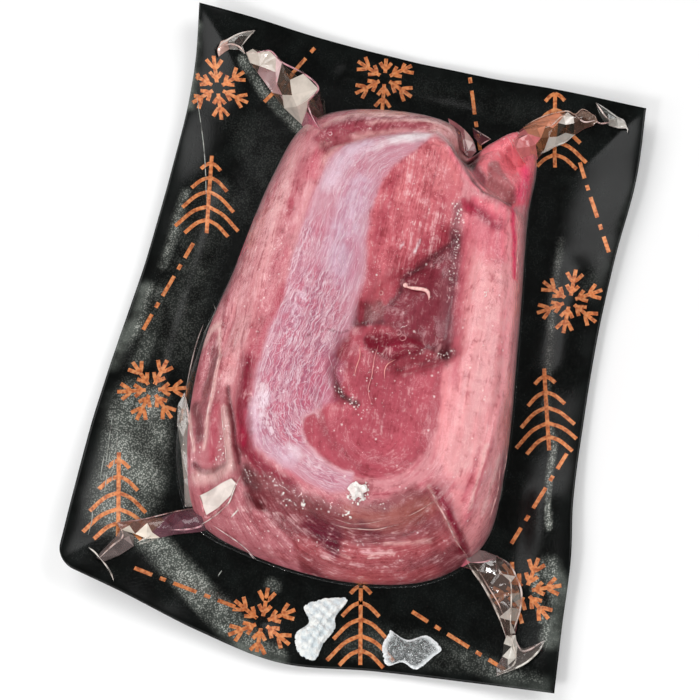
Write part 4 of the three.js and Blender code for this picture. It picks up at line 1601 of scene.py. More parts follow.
# Painted highlights: others lay shine on the slopes and band, pale lines on folds, light on the right edge
# and two glints.
# Painted shade: some fields darken the meat in crevices, along creases, over the recess, in the notch, in a
# hollow and under the upper muscle.
FIELDS = (
    Field(Tone.SLOPE_PALE, "-54.5,54.5 -54.5,26.5 -54.5,0.5 -53.5,-20", 10, 0.7, 4),
    Field(Tone.SLOPE_PALE, "-62.5,48 -62.5,19.5 -63.5,-3", 8, 0.5, 3),
    Field(Tone.SLOPE_RED, "-54,15.5 -55.5,-4.5 -54,-25 -51.5,-42", 8, 0.15, 3.5),
    Field(Tone.SLOPE_RED, "-72.5,54 -73,29 -70.5,2.5", 8, 0.4, 3),
    Field(Tone.SLOPE_EDGE, "-74,48 -74,20.5 -69.5,-10", 5, 0.6, 2, 1.5),
    Field(Tone.SLOPE_RED, "-47,77 -47,62.5 -47.5,48.5 -48,32 -47,16.5", 7, 0.6, 3),
    Field(Tone.SLOPE_RED, "-40.5,6 -43.5,-6.5 -46,-18.5 -47,-29.5 -48,-39.5 -47.5,-49", 6, 0.85, 3.8, 1.2),
    Field(Tone.SLOPE_RED, "-50.5,0.5 -50.5,-20 -50.5,-37.5", 6, 0.55, 3, 1.5),
    Field(Tone.SLOPE_RED, "-48.5,20.5 -48.5,5.5", 5, 0.5, 2.4, 1.5),
    Field(Tone.SLOPE_PALE, "-53.5,72 -54,57 -55,40.5", 5, 0.4, 2),
    Field(Tone.TOP_BULGE, "-43,89 -42.5,96.5 -38,104.5 -29,112 -17.5,118 -3.5,128.5 9.5,130.5 18,127.5 "
          "23.5,117 19,109 15.5,105.5 11.5,106.5 3,106 -6.5,103 -16,97.5 -25,92.5 -31.5,87 -35,80 "
          "-36.5,74.5", 3, 1, 0, 1),
    Field(Tone.TOP_BULGE_RED, "-37.5,92.5 -29,98.5 -17,103.5 -5,107.5 7,110", 4, 0.75, 2.2, 1.5),
    Field(Tone.TOP_BULGE_PALE, "-32.5,103.5 -21,109 -6,113 9,114", 3, 0.8, 1.5, 1.5),
    Field(Tone.TOP_BULGE_BROWN, "-40.5,95 -34,100 -26,104.5", 4, 0.6, 2, 1),
    Field(Tone.TOP_BULGE_PALE, "-41.5,99.5 -33,106 -21.5,112 -7,118 7.5,128.5", 2.4, 0.85, 1, 0.8),
    Field(Tone.TOP_BULGE_PALE, "-35.5,94 -26.5,100.5 -15,106.5 -0.5,110.5 14.5,113.5", 2, 0.7, 0.8, 0.8),
    Field(Tone.TOP_BULGE_RED, "-38,98 -30,103 -22,107", 5, 0.8, 3.4, 1),
    Field(Tone.TOP_BULGE_RED, "-42,94.5 -34,100 -22.5,106 -8.5,111 6,116.5 15.5,126.5", 2.2, 0.9, 1, 0.8),
    Field(Tone.TOP_BULGE_RED, "-35,91.5 -27.5,98 -17,102.5 -5,106 10,109", 2.2, 0.75, 0.9, 0.8),
    Field(Tone.BLUSH, "-39.5,83 -41,77 -41,68.5", 5, 0.55, 3, 1),
    Field(Tone.TOP_BULGE_RED, "-43.5,90 -38,94 -31,98 -23.5,102", 4, 0.85, 2.6, 1),
    Field(Tone.TOP_BULGE_RED, "-38,85 -34,90 -28.5,93", 4, 0.8, 2.4, 1),
    Field(Tone.TOP_BULGE, "19,111 23,116.5 27.5,121 32.5,118 34.5,113 31,103.5 27,102.5 23.5,97.5 "
          "20.5,100", 2, 1, 0, 0.6),
    Field(Tone.TOP_BULGE_BROWN, "26.5,109 28.5,107.5", 2, 0.7, 1.5, 0.5),
    Field(Tone.BAND, "36,69.5 41,73.5 48,72.5 56.5,71.5 65,80 69,61.5 71.5,40 73,18.5 75,-2.5 77,-23 "
          "77,-38.5 76,-53.5 65,-66 54.5,-65.5 49,-58 45.5,-48.5 44.5,-41.5 43.5,-29 42,-17 41,-3 38.5,12 "
          "38,21.5 37.5,34 36.5,42.5 34.5,51 34,59.5", 5, 1, 0, 1.2),
    # Painted shine over the lower band.
    Field(Tone.BAND_PALE, "53.5,37.5 55,23 56.5,3 59,-19 59,-41.5 57.5,-53.5", 16, 0.7, 6, 5),
    Field(Tone.BAND_PINK, "56,73 57,63.5 58.5,53", 6, 0.7, 3, 1),
    Field(Tone.BAND_PINK, "68,38 68.5,18.5 70.5,1", 6, 0.6, 2.4, 4),
    Field(Tone.BAND_RED, "42.5,67 47,62 50.5,59.5 55,64", 5, 0.8, 3.4, 0.8),
    Field(Tone.BAND_RED, "48,53 50,57.5", 5, 0.6, 2.5, 0.8),
    Field(Tone.BAND_TOP, "40.5,61.5 49.5,54 55.5,49.5", 12, 0.9, 7, 1),
    Field(Tone.BAND_PINK, "54,80.5 57,63.5 60,48.5", 6, 0.8, 3, 1),
    Field(Tone.BAND_PATCH, "39.5,70.5 45.5,66.5 52,63", 4, 0.95, 3.4, 0.8),
    Field(Tone.BAND_PINK, "40,73 45.5,71 49.5,67.5 53,64.5", 4, 0.7, 2, 0.8),
    # Painted light along the right edge.
    Field(Tone.EDGE_PALE, "60.5,72 63,56 66,40 68.5,24 72,5.5 76,-17", 7, 0.9, 4, 0.8),
    Field(Tone.HOT_PINK, "57.5,82 60.5,66 63.5,53.5 66.5,40.5", 2.6, 0.95, 1.4, 0.5),
    Field(Tone.EDGE_MAUVE, "66.5,86 68,77.5 70.5,66.5 71.5,53", 2.6, 0.35, 1.4, 0.5),
    Field(Tone.EDGE_MAUVE, "66.5,81 68,66.5", 2, 0.6, 1, 0.4),
    Field(Tone.RECESS_SHADE, "-5.5,11.5 3.5,19 11.5,29 21.5,40.5 29,52.5 36.5,58.5 39.5,43.5 41.5,23 44,5 "
          "44.5,-5.5 40,-14 31.5,-18.5 18.5,-16 6.5,-16 -3.5,-10.5 -8,-4", 7, 0.95, 0, 1),
    Field(Tone.UPPER_MUSCLE, "12,101.5 17.5,99 22.5,94.5 27.5,88.5 31.5,82 31.5,75.5 31,67.5 31,59.5 "
          "31.5,52 26.5,45.5 21.5,39.5 17,34 13.5,29 13,22 11,15 7,12 6,8 -1.5,12 -5,11 -5,16 -4.5,22 "
          "-6,31 -7.5,40.5 -9,55 -8,67 -5,77 0,85.5 7.5,94", 1.8, 1, 0, 0.8),
    Field(Tone.UPPER_MUSCLE_PALE, "15,98.5 19.5,95 24,88 28,81", 5, 0.6, 2.6, 1.2),
    Field(Tone.UPPER_MUSCLE_PALE, "10.5,92.5 14.5,80 15.5,67", 9, 0.4, 4, 1.5),
    # Painted shade along the upper muscle's lower edge, over the recess.
    Field(Tone.UPPER_MUSCLE_DARK, "30,50.5 24,44.5 18.5,38.5 14,32.5 11.5,26 9,17", 7, 0.8, 3.5, 1.2),
    Field(Tone.UPPER_MUSCLE_DARK, "-2,26.5 -2.5,19 -2,13.5", 6, 0.5, 3, 1.2),
    Field(Tone.UPPER_MUSCLE_DARK, "-4,54.5 -2,37 -1.5,24.5", 5, 0.4, 2.4, 1.2),
    Field(Tone.UPPER_MUSCLE_PALE, "19,87 22,74", 4, 0.5, 1.4, 3),
    Field(Tone.UPPER_MUSCLE_PALE, "4.5,85.5 5,70 7,54.5", 4, 0.5, 1.6, 3),
    Field(Tone.UPPER_MUSCLE_DARK, "25,69.5 24.5,56.5 20.5,45.5", 5, 0.6, 2.4, 3),
    Field(Tone.UPPER_MUSCLE_DARK, "15.5,80.5 17,67.5 16,54", 4, 0.4, 1.6, 3),
    Field(Tone.UPPER_MUSCLE_DARK, "-4.5,70 -1,73.5 2,78.5", 3, 0.5, 1.4, 2),
    Field(Tone.UPPER_MUSCLE_DARK, "20,45 27,50.5 28.5,57", 4, 0.7, 2.4, 2),
    Field(Tone.UPPER_MUSCLE_DARK, "-3,46 -1,55.5 0,63.5", 3, 0.5, 1.2, 2),
    # Two painted glints on the upper muscle.
    Field(Tone.SILVERSKIN_WHITE, "16,41 17.5,47", 0.8, 0.9, 0.4, 0.3),
    Field(Tone.SILVERSKIN_WHITE, "9,41.5 10,43.5", 0.8, 0.9, 0.4, 0.3),
    Field(Tone.UPPER_MUSCLE_DARK, "5.5,62 6,49 6,36.5", 4, 0.45, 1.6, 3),
    Field(Tone.UPPER_MUSCLE_DARK, "-3,78.5 -2.5,65.5 -1.5,52.5 -1.5,42.5", 4, 0.55, 1.6, 3),
    Field(Tone.HOOK_MUSCLE, "-5.5,-3.5 -7.5,-8 -10,-14 -10,-20.5 -8.5,-29.5 -7,-36.5 -8,-41 -11.5,-48 "
          "-17,-51 -18,-55.5 -17,-59.5 -12.5,-64.5 -8,-67.5 -1.5,-71 4.5,-73 10.5,-74 20,-73 30,-68.5 "
          "38,-61.5 42,-52 44.5,-41.5 43.5,-29 42,-17 40.5,-4.5 33.5,-6 28.5,-8.5 23,-11.5 17,-14.5 "
          "11,-14.5 5,-13.5 1.5,-6.5 4,0 -1,1", 2.4, 1, 0, 1),
    Field(Tone.HOOK_MUSCLE_DARK, "-7,-8.5 -9.5,-15 -8.5,-23 -7,-32.5 -5,-37.5", 5, 0.75, 3, 1),
    Field(Tone.HOOK_MUSCLE_DARK, "-3,-14 -2.5,-21.5", 6, 0.5, 3, 1),
    Field(Tone.HOOK_MUSCLE_PINK, "-6.5,-46.5 0.5,-44.5 5,-42.5", 10, 0.45, 5, 1),
    Field(Tone.HOOK_MUSCLE_PINK, "34.5,-21.5 35.5,-34 33.5,-47 27.5,-58", 10, 0.6, 6, 1),
    Field(Tone.HOOK_MUSCLE_PINK, "1.5,-10.5 1,-19 1.5,-29.5 1,-37", 3, 0.45, 1.2, 0.8),
    Field(Tone.HIGH_LUMP, "15,29 22,36 30,40.5 35,42.5 37.5,36 38.5,26.5 38,16.5 39,7 38,-0.5 32.5,-4 "
          "23,-1.5 15.5,1 10,3 7.5,9.5 11,14 13.5,24", 1.8, 1, 0, 0.6),
    Field(Tone.HIGH_LUMP_GREY, "33,36.5 35.5,26 36,14.5 36.5,4.5", 4, 0.75, 2.4, 0.8),
    Field(Tone.SEAM, "33,54.5 36,45 38,34 38.5,21.5 39.5,12 42,-2.5", 5, 0.6, 2, 0.8),
    Field(Tone.BAND_RED, "38.5,56 40,47 41.5,34 42.5,22 44,10 46,-2 47.5,-18", 7, 0.8, 1.8, 1.2),
    Field(Tone.LOW_LUMP, "19,16.5 17,8 21.5,4", 5, 0.4, 2.4, 0.8),
    Field(Tone.LOW_LUMP, "2,-5.5 5,1 10,2 15.5,0.5 23,-2 31.5,-4 28.5,-8 23,-11 17,-14 11,-13.5 "
          "5,-12.5", 1.6, 1, 0, 0.5),
    Field(Tone.LOW_LUMP_PALE, "3.5,-2.5 9,0.5 15,-1", 3, 0.65, 1.8, 0.6),
    Field(Tone.KNOT_RED, "18,-7 15,-10.5", 3, 0.4, 1.8, 0.6),
    # Painted shade along the upper muscle's lower edge.
    Field(Tone.CREVICE_SHADE_RED, "32,50 27,44.5 21.5,38.5 18,34 14.5,29.5 13,26 13,21.5 12,17.5 "
          "10.5,14", 2.6, 0.85, 1.4, 0.6),
    Field(Tone.SEAM, "32,67.5 33,60.5 33,54", 4, 0.6, 2.4, 0.8),
    Field(Tone.CREVICE_SHADE_RED, "-5,8.5 -5,5 -2.5,2 0.5,1", 1.8, 0.5, 1.2, 0.5),
    Field(Tone.CREVICE_SHADE_RED, "0.5,2 5.5,3 9.5,3.5", 1.4, 0.45, 0.9, 0.4),
    Field(Tone.MEMBRANE, "-2.6,9.8 1,12.6 5.4,14.8 8.2,5 4.4,3.4 -2,3.8", 3, 0.8, 0, 1),
    Field(Tone.UPPER_MUSCLE_DARK, "-4.8,15 -4.4,9 -3.4,4", 3, 0.75, 2.2, 1.5),
    Field(Tone.CREVICE_SHADE, "22,-14.5 27.5,-11.5 32.5,-6.5 38,-3", 3.4, 0.3, 1.6, 0.9),
    Field(Tone.CREVICE_SHADE, "30.5,-12.5 35.5,-9 39,-5", 2.4, 0.4, 1, 0.8),
    Field(Tone.CREVICE_SHADE, "41,-3 38.5,-10 32.5,-13", 4, 0.15, 1.6, 0.6),
    Field(Tone.CREVICE_SHADE, "-7,-31.5 -4,-35.5 0.5,-38 5,-40", 2.6, 0.85, 1.6, 0.9),
    Field(Tone.CREVICE_SHADE_RED, "-10.5,-19 -9.5,-25.5 -8,-32", 2.6, 0.8, 1.4, 0.6),
    Field(Tone.KNOT_RED, "34,71.5 37,68.5 39.5,67", 2.4, 0.8, 1.8, 0.6),
    Field(Tone.LOBE, "32,105 37,109 41.5,120.5 47,125.5 52.5,129.5 59,133 66.5,124 66,119 66.5,108 67,95.5 "
          "67.5,87 57,79.5 50,77 44,78.5 38.5,86 34,91.5", 2, 1, 0, 0.5),
    Field(Tone.LOBE_BROWN, "32.5,104.5 38,96.5 42,91.5 43.5,83.5 38.5,86 34.5,92.5", 2.4, 0.9, 0, 0.5),
    Field(Tone.LOBE_PATCH, "42,98 47.5,102.5 50.5,95.5 56.5,89 60,83.5 56.5,80 50,78.5 44,79.5 "
          "43,91", 2, 0.9, 0, 0.4),
    Field(Tone.LOBE_HOT, "61.5,102.5 62.5,95 61.5,86", 7, 0.9, 2.6, 0.8),
    Field(Tone.CREVICE_SHADE_RED, "36.5,83 42.5,78.5 49,78 57,80", 1.8, 0.8, 1, 0.3),
    # Painted shade in the deep notch.
    Field(Tone.NOTCH_SHADE, "27,102.5 31,103.5 34.5,107.5 36.5,114.5 36,94 33,91.5", 2, 0.95, 0, 0.3),
    Field(Tone.BAND_PINK, "21.5,97 26,91.5 32.5,84.5 40,78", 2, 0.55, 0.9, 0.4),
    Field(Tone.CREVICE_SHADE_RED, "22,99.5 27,102.5 33.5,86.5 41,80", 1.6, 0.6, 0.9, 0.3),
    Field(Tone.FRONT, "-30.5,-87 -21,-89 -10.5,-92 0,-92 11,-92 22.5,-89 33,-83.5 41,-76.5 47,-71 53,-76.5 "
          "62.5,-87.5 73,-96 66,-104 48,-114.5 29.5,-119.5 9.5,-120 -5.5,-118.5 -13,-118 -24.5,-118 "
          "-37.5,-116.5 -47.5,-116.5 -44.5,-108 -38.5,-99 -38.5,-90", 2.8, 1, 0, 1),
    Field(Tone.FRONT_PINK, "9,-104.5 19,-106.5 30.5,-104.5 44,-99 57,-92", 7, 0.8, 4, 1.5),
    Field(Tone.FRONT_PINK, "-7.5,-108 8,-112.5 23,-113.5 42,-109.5", 7, 0.6, 3.6, 1.5),
    Field(Tone.FRONT, "-35.5,-102.5 -26,-109.5 -13.5,-113.5 -1,-114.5", 5, 0.5, 2.6, 1),
    Field(Tone.FRONT_PINK, "9,-116.5 23.5,-116 42.5,-112 58,-105.5", 5, 0.8, 2.6, 1),
    Field(Tone.FRONT_BROWN, "-11,-90 0,-91 10.5,-90.5 22,-87.5 31.5,-82.5 39.5,-75.5", 6, 0.75, 3.4, 1.2),
    Field(Tone.FRONT_TAN, "33.5,-86 42,-81 51.5,-76.5", 5, 0.7, 2.8, 1),
    Field(Tone.FRONT_TAN, "23,-91.5 34,-88 45,-82.5", 4, 0.5, 2.2, 1),
    Field(Tone.FRONT_TAN, "13,-90.5 25,-91 36.5,-88.5 47,-81", 7, 0.7, 3.4, 1.2),
    Field(Tone.FRONT_PALE, "32,-99.5 41,-97.5 52.5,-93.5", 1.6, 0.7, 0.7, 0.5),
    Field(Tone.FRONT_PALE, "-15,-111 -12.5,-111.5", 1.6, 0.7, 1, 0.4),
    Field(Tone.FRONT_DARK, "-4.5,-97 -0.5,-99 4,-101.5 9,-106", 4, 1, 3.6, 1.2),
    Field(Tone.FRONT_DARK, "0,-97.5 5.5,-99 9.5,-100", 4, 0.9, 2.6, 1),
    Field(Tone.FRONT_DARK, "-2.5,-98 3.5,-101", 4, 0.9, 3, 1),
    Field(Tone.FRONT_DARK, "19,-94 22,-96 28,-95.5", 2.4, 0.6, 1.4, 0.8),
    Field(Tone.FRONT_BROWN, "-50,-102.5 -43,-106.5 -36.5,-110 -32,-113", 3.4, 0.85, 2.6, 0.8),
    Field(Tone.CREVICE_SHADE_RED, "-35.5,-92.5 -34.5,-95.5 -32,-100 -26.5,-106.5 -19,-110.5 "
          "-11.5,-112", 2.4, 0.7, 1.5, 0.6),
    Field(Tone.SLOPE_RED, "-41,-91.5 -37.5,-95 -35.5,-99", 2.8, 0.6, 1.5, 0.6),
    Field(Tone.FRONT_PALE, "-21,-106.5 -15,-109.5 -11,-113 -8,-114.5", 1.6, 0.6, 0.9, 0.5),
    Field(Tone.FRONT_PALE, "-22,-108 -16.5,-110.5 -12.5,-111.5", 1.2, 0.6, 0.6, 0.4),
    Field(Tone.FRONT_PALE, "13.5,-108.5 17,-109", 1, 0.8, 0.5, 0.3),
    Field(Tone.FRONT_PALE, "26,-106.5 29.5,-104.5 34.5,-103 37,-103", 1, 0.8, 0.5, 0.3),
    Field(Tone.BAND, "57,-69.5 65.5,-68.5 73,-61 78,-52 79.5,-61.5 78,-74.5 75,-87 73,-94 67,-90.5 "
          "61.5,-81.5", 2.4, 0.9, 0, 0.6),
    Field(Tone.BAND_PALE, "57.5,-61 62.5,-57.5 65.5,-50", 5, 0.6, 3, 1),
    Field(Tone.BAND_RED, "67,-62.5 67,-70.5 67,-78", 5, 0.5, 2, 1),
    Field(Tone.BAND_RED, "71.5,-42.5 70,-57.5 68.5,-72.5 67.5,-84", 2.6, 0.6, 1, 0.8),
    Field(Tone.BAND_RED, "66,-48 65,-61.5 64,-73.5", 2, 0.6, 0.8, 0.8),
    Field(Tone.LEFT_LOBE_PALE, "69,-46 68,-60.5 67,-76.5", 2, 0.7, 0.7, 0.8),
    Field(Tone.LEFT_LOBE_PALE, "76.5,-46.5 75.5,-62 74,-77", 2, 0.6, 0.7, 0.8),
    Field(Tone.CRIMSON, "49.5,-73.5 53,-76.5 57,-81.5 62.5,-87 68,-92 74,-96", 2.6, 1, 2.6, 0.5),
    Field(Tone.FRONT_PALE, "46,-71 50,-75.5 53.5,-80 59,-86 66,-92.5", 1.6, 0.6, 0.5, 0.3),
    Field(Tone.LEFT_LOBE, "-71.5,-8 -75,-13 -77.5,-18 -79.5,-20.5 -81,-27.5 -80,-36 -80,-44 -78,-50.5 "
          "-70.5,-68.5 -68.5,-74 -67,-81 -66,-92.5 -65.5,-103 -63,-110.5 -47.5,-116.5 -37.5,-116.5 "
          "-24.5,-118 -13,-118 -5.5,-118 -12.5,-107 -23.5,-100 -32,-94.5 -38.5,-90 -42,-81.5 -44.5,-75 "
          "-47.5,-67.5 -51.5,-58 -55.5,-49 -61,-42 -65,-29.5 -70,-11.5", 2, 1, 0, 0.5),
    Field(Tone.LEFT_LOBE_PALE, "-72,-10 -75.5,-13.5 -77.5,-19 -79,-21", 4, 0.8, 2, 0.6),
    Field(Tone.LEFT_LOBE_MAUVE, "-70,-15.5 -71.5,-21 -71.5,-28 -71,-36.5 -71.5,-47 -67.5,-48.5 -66,-42 "
          "-66,-34.5 -68,-23", 2.4, 0.95, 0, 0.5),
    Field(Tone.LEFT_LOBE_DARK, "-73.5,-52 -69,-60 -66,-67", 3.4, 0.8, 2.2, 0.5),
    Field(Tone.SLOPE_RED, "-80,-20 -75.5,-29 -76,-35.5", 3, 0.4, 1.5, 0.5),
    Field(Tone.LEFT_LOBE_DARK, "-74.5,-49.5 -65.5,-49.5 -65,-55 -65.5,-61 -66.5,-67 -67.5,-70 -69.5,-65 "
          "-72,-57.5", 2.4, 0.5, 0, 0.4),
    Field(Tone.LEFT_LOBE_PALE, "-70,-11.5 -68,-20.5 -66,-27.5 -65.5,-38 -65,-47.5 -65,-56.5 -64,-64.5 "
          "-63.5,-72", 1.6, 0.8, 0.9, 0.3),
    Field(Tone.LEFT_LOBE_PALE, "-78.5,-49.5 -75,-57.5 -72,-65 -70,-69.5 -68.5,-73.5", 1.4, 0.85, 0.8, 0.3),
    Field(Tone.BAND_RED, "-61.5,-52 -60.5,-59 -59,-68.5 -57.5,-76.5", 3.4, 0.9, 2, 0.5),
    Field(Tone.LEFT_LOBE_GREY, "-56.5,-53.5 -53.5,-61.5 -50.5,-71 -47,-80.5", 1.6, 0.9, 1.9, 0.3),
    Field(Tone.CREVICE_SHADE_RED, "-58,-41.5 -55.5,-49 -51.5,-58 -47,-70 -43.5,-78", 1.6, 0.75, 0.9, 0.4),
    Field(Tone.BAND_PINK, "-49.5,-49 -48,-58 -46,-67.5", 1.8, 0.8, 1.1, 0.4),
    Field(Tone.CREVICE_SHADE_RED, "-67,-80 -63.5,-82 -60,-83 -56.5,-82 -51,-80", 2, 0.85, 1.4, 0.3),
    Field(Tone.LEFT_LOBE_PALE, "-64.5,-85.5 -59.5,-86 -53,-84 -47.5,-82", 5, 0.7, 3, 0.8),
    Field(Tone.CRIMSON, "-50,-30 -49,-42 -47.5,-54", 6, 0.95, 3.4, 0.8),
    Field(Tone.CRIMSON, "-45.5,-50.5 -45,-57.5 -44,-67 -41.5,-71 -36,-76 -29.5,-80 -22,-83 "
          "-15.5,-85.5", 5, 0.95, 3.4, 0.8),
    Field(Tone.CRIMSON, "-49.5,-47 -47.5,-54 -43.5,-61 -36.5,-67", 3.5, 0.9, 3.4, 0.8),
    Field(Tone.BAND_RED, "-37,-66 -28,-71.5 -18,-77 -8,-80.5", 4, 0.55, 2.6, 1),
    Field(Tone.SLOPE_RED, "-60.5,30 -60,13.5 -58.5,-3", 6, 0.3, 3.2, 1.2),
    Field(Tone.SLOPE_PALE, "-59,-9 -60,-24 -59.5,-38", 5, 0.55, 3.2, 1.2),
    Field(Tone.SLOPE_PALE, "-54.5,80 -55,65 -54.5,50", 4.5, 0.5, 2.8, 1),
    Field(Tone.KNOT_RED, "-45.5,-54.5 -44.5,-62.5 -43.5,-68", 2.4, 0.8, 1.3, 0.4),
    # Painted shade in the hollow where two creases meet.
    Field(Tone.POCKET_SHADE, "-41.5,-77.5 -37.5,-79 -32,-82.5 -30.5,-87 -35,-88.5 -40,-85.5", 3.4, 0.9, 0, 0.8),
    Field(Tone.FRONT_BROWN, "-30.5,-84 -21,-87 -11,-90 0,-91.5", 6, 0.75, 3.2, 1),
    Field(Tone.SILVERSKIN, "11.5,104.5 3,105 -6.5,101 -15.5,95.5 -24.5,91 -31,85.5 -34.5,79 -36.5,69 "
          "-38.5,57 -39.5,46 -40,33.5 -41,21.5 -40,5.5 -42,-7 -43.5,-13.5 -44,-24 -45,-32.5 -44.8,-41 "
          "-42.8,-47 -40.2,-54 -39,-60 -37,-66.5 -34.5,-70.5 -29,-73 -22,-76 -14,-79.5 -5,-82.5 3.5,-83.5 "
          "10.5,-80.5 11,-75 10.5,-73 4.5,-73 -1.5,-71 -8,-67.5 -12.5,-64.5 -17,-59.5 -18,-55.5 -17,-51 "
          "-13.5,-48 -9.5,-43 -7.5,-39.5 -8,-32.5 -10,-25.5 -10.5,-19.5 -9.5,-13 -7,-7.5 -5.5,-3 -5,2 "
          "-5.5,9.5 -5,16 -4.5,22 -6,31 -7.5,40.5 -9,55 -8,67 -5,77 0,85.5 7.5,94", 4, 1, 0, 0.5),
    Field(Tone.SILVERSKIN_LILAC, "-24,66 -25.5,49.5 -26.5,33 -21,19 -12.5,13.5 -9,25 -11.5,42.5 -12,58 "
          "-11.5,71 -18.5,74", 10, 0.8),
    Field(Tone.SILVERSKIN_PINK, "-33.5,48 -28.5,42 -30.5,35 -34.5,38.5", 4, 0.6, 0, 1.5),
    Field(Tone.SILVERSKIN_PINK, "-15.5,38.5 -10.5,28.5 -12,19", 5, 0.55, 2.2, 1.5),
    Field(Tone.SILVERSKIN_PINK, "-21,-20 -13,-17 -10,-28.5 -8.5,-40 -18,-47.5 -23,-45 -23.5,-35", 7, 0.85),
    Field(Tone.SILVERSKIN_MAUVE, "-38,2.5 -40,-6 -42,-13.5 -39.5,-15 -37,-6.5 -35,1", 4, 0.75, 0, 1.5),
    Field(Tone.SILVERSKIN_PINK, "-36.5,-20 -37,-28", 4, 0.7, 2, 1),
    Field(Tone.SILVERSKIN_PALE, "-39,-48 -39,-56.5 -35,-64 -27.5,-69 -20,-70.5", 7, 0.85, 4, 1.5),
    Field(Tone.SILVERSKIN_WHITE, "-40.5,-41 -39,-48 -35,-57 -29.5,-63.5", 5, 0.45, 2, 1.5),
    Field(Tone.SILVERSKIN_PALE, "-32.5,5.5 -32.5,-4 -33,-14.5", 5, 0.6, 2.4, 1.5),
    Field(Tone.SILVERSKIN_MAUVE, "-19,-16 -13.5,-18 -8,-22 -4.5,-29.5", 4, 0.6, 1.8, 2),
    Field(Tone.SILVERSKIN_MAUVE, "-23,-37.5 -13.5,-39.5 -5,-40.5", 4, 0.5, 1.6, 2),
    Field(Tone.SILVERSKIN_WHITE, "-24,-64.5 -15.5,-70 -6,-73", 4, 0.4, 1.6, 1.5),
    Field(Tone.SILVERSKIN_PINK, "-26,-55 -27.5,-60 -21.5,-64 -18.5,-59.5", 4, 0.7, 2.2, 1),
    Field(Tone.SILVERSKIN_WHITE, "11.5,104.5 3,104 -6,98 -13,92 -17,87 -9.5,91 0,95 9,99", 4, 0.95, 0, 0.8),
    Field(Tone.SILVERSKIN_PALE, "-19,90 -24.5,84.5 -29,76 -31.5,66", 7, 0.9, 4, 1),
    Field(Tone.HOOK_LINE, "-11.5,-50 -13,-48 -17,-51 -18,-55.5 -17,-59 -12.5,-64.5 -8,-68 -1.5,-71 4.5,-73 "
          "10.5,-73", 1.8, 0.65, 0.6, 0.4),
    Field(Tone.CREVICE_SHADE_RED, "-26,-13.5 -22,-10.5 -16,-7 -10.5,-7 -7,-5", 1, 0.7, 0.5, 0.3),
)
NARROWED = {"-62,-105": "-60,-104", "-79,-72": "-73.5,-72", "-80,-20": "-78.5,-20"}


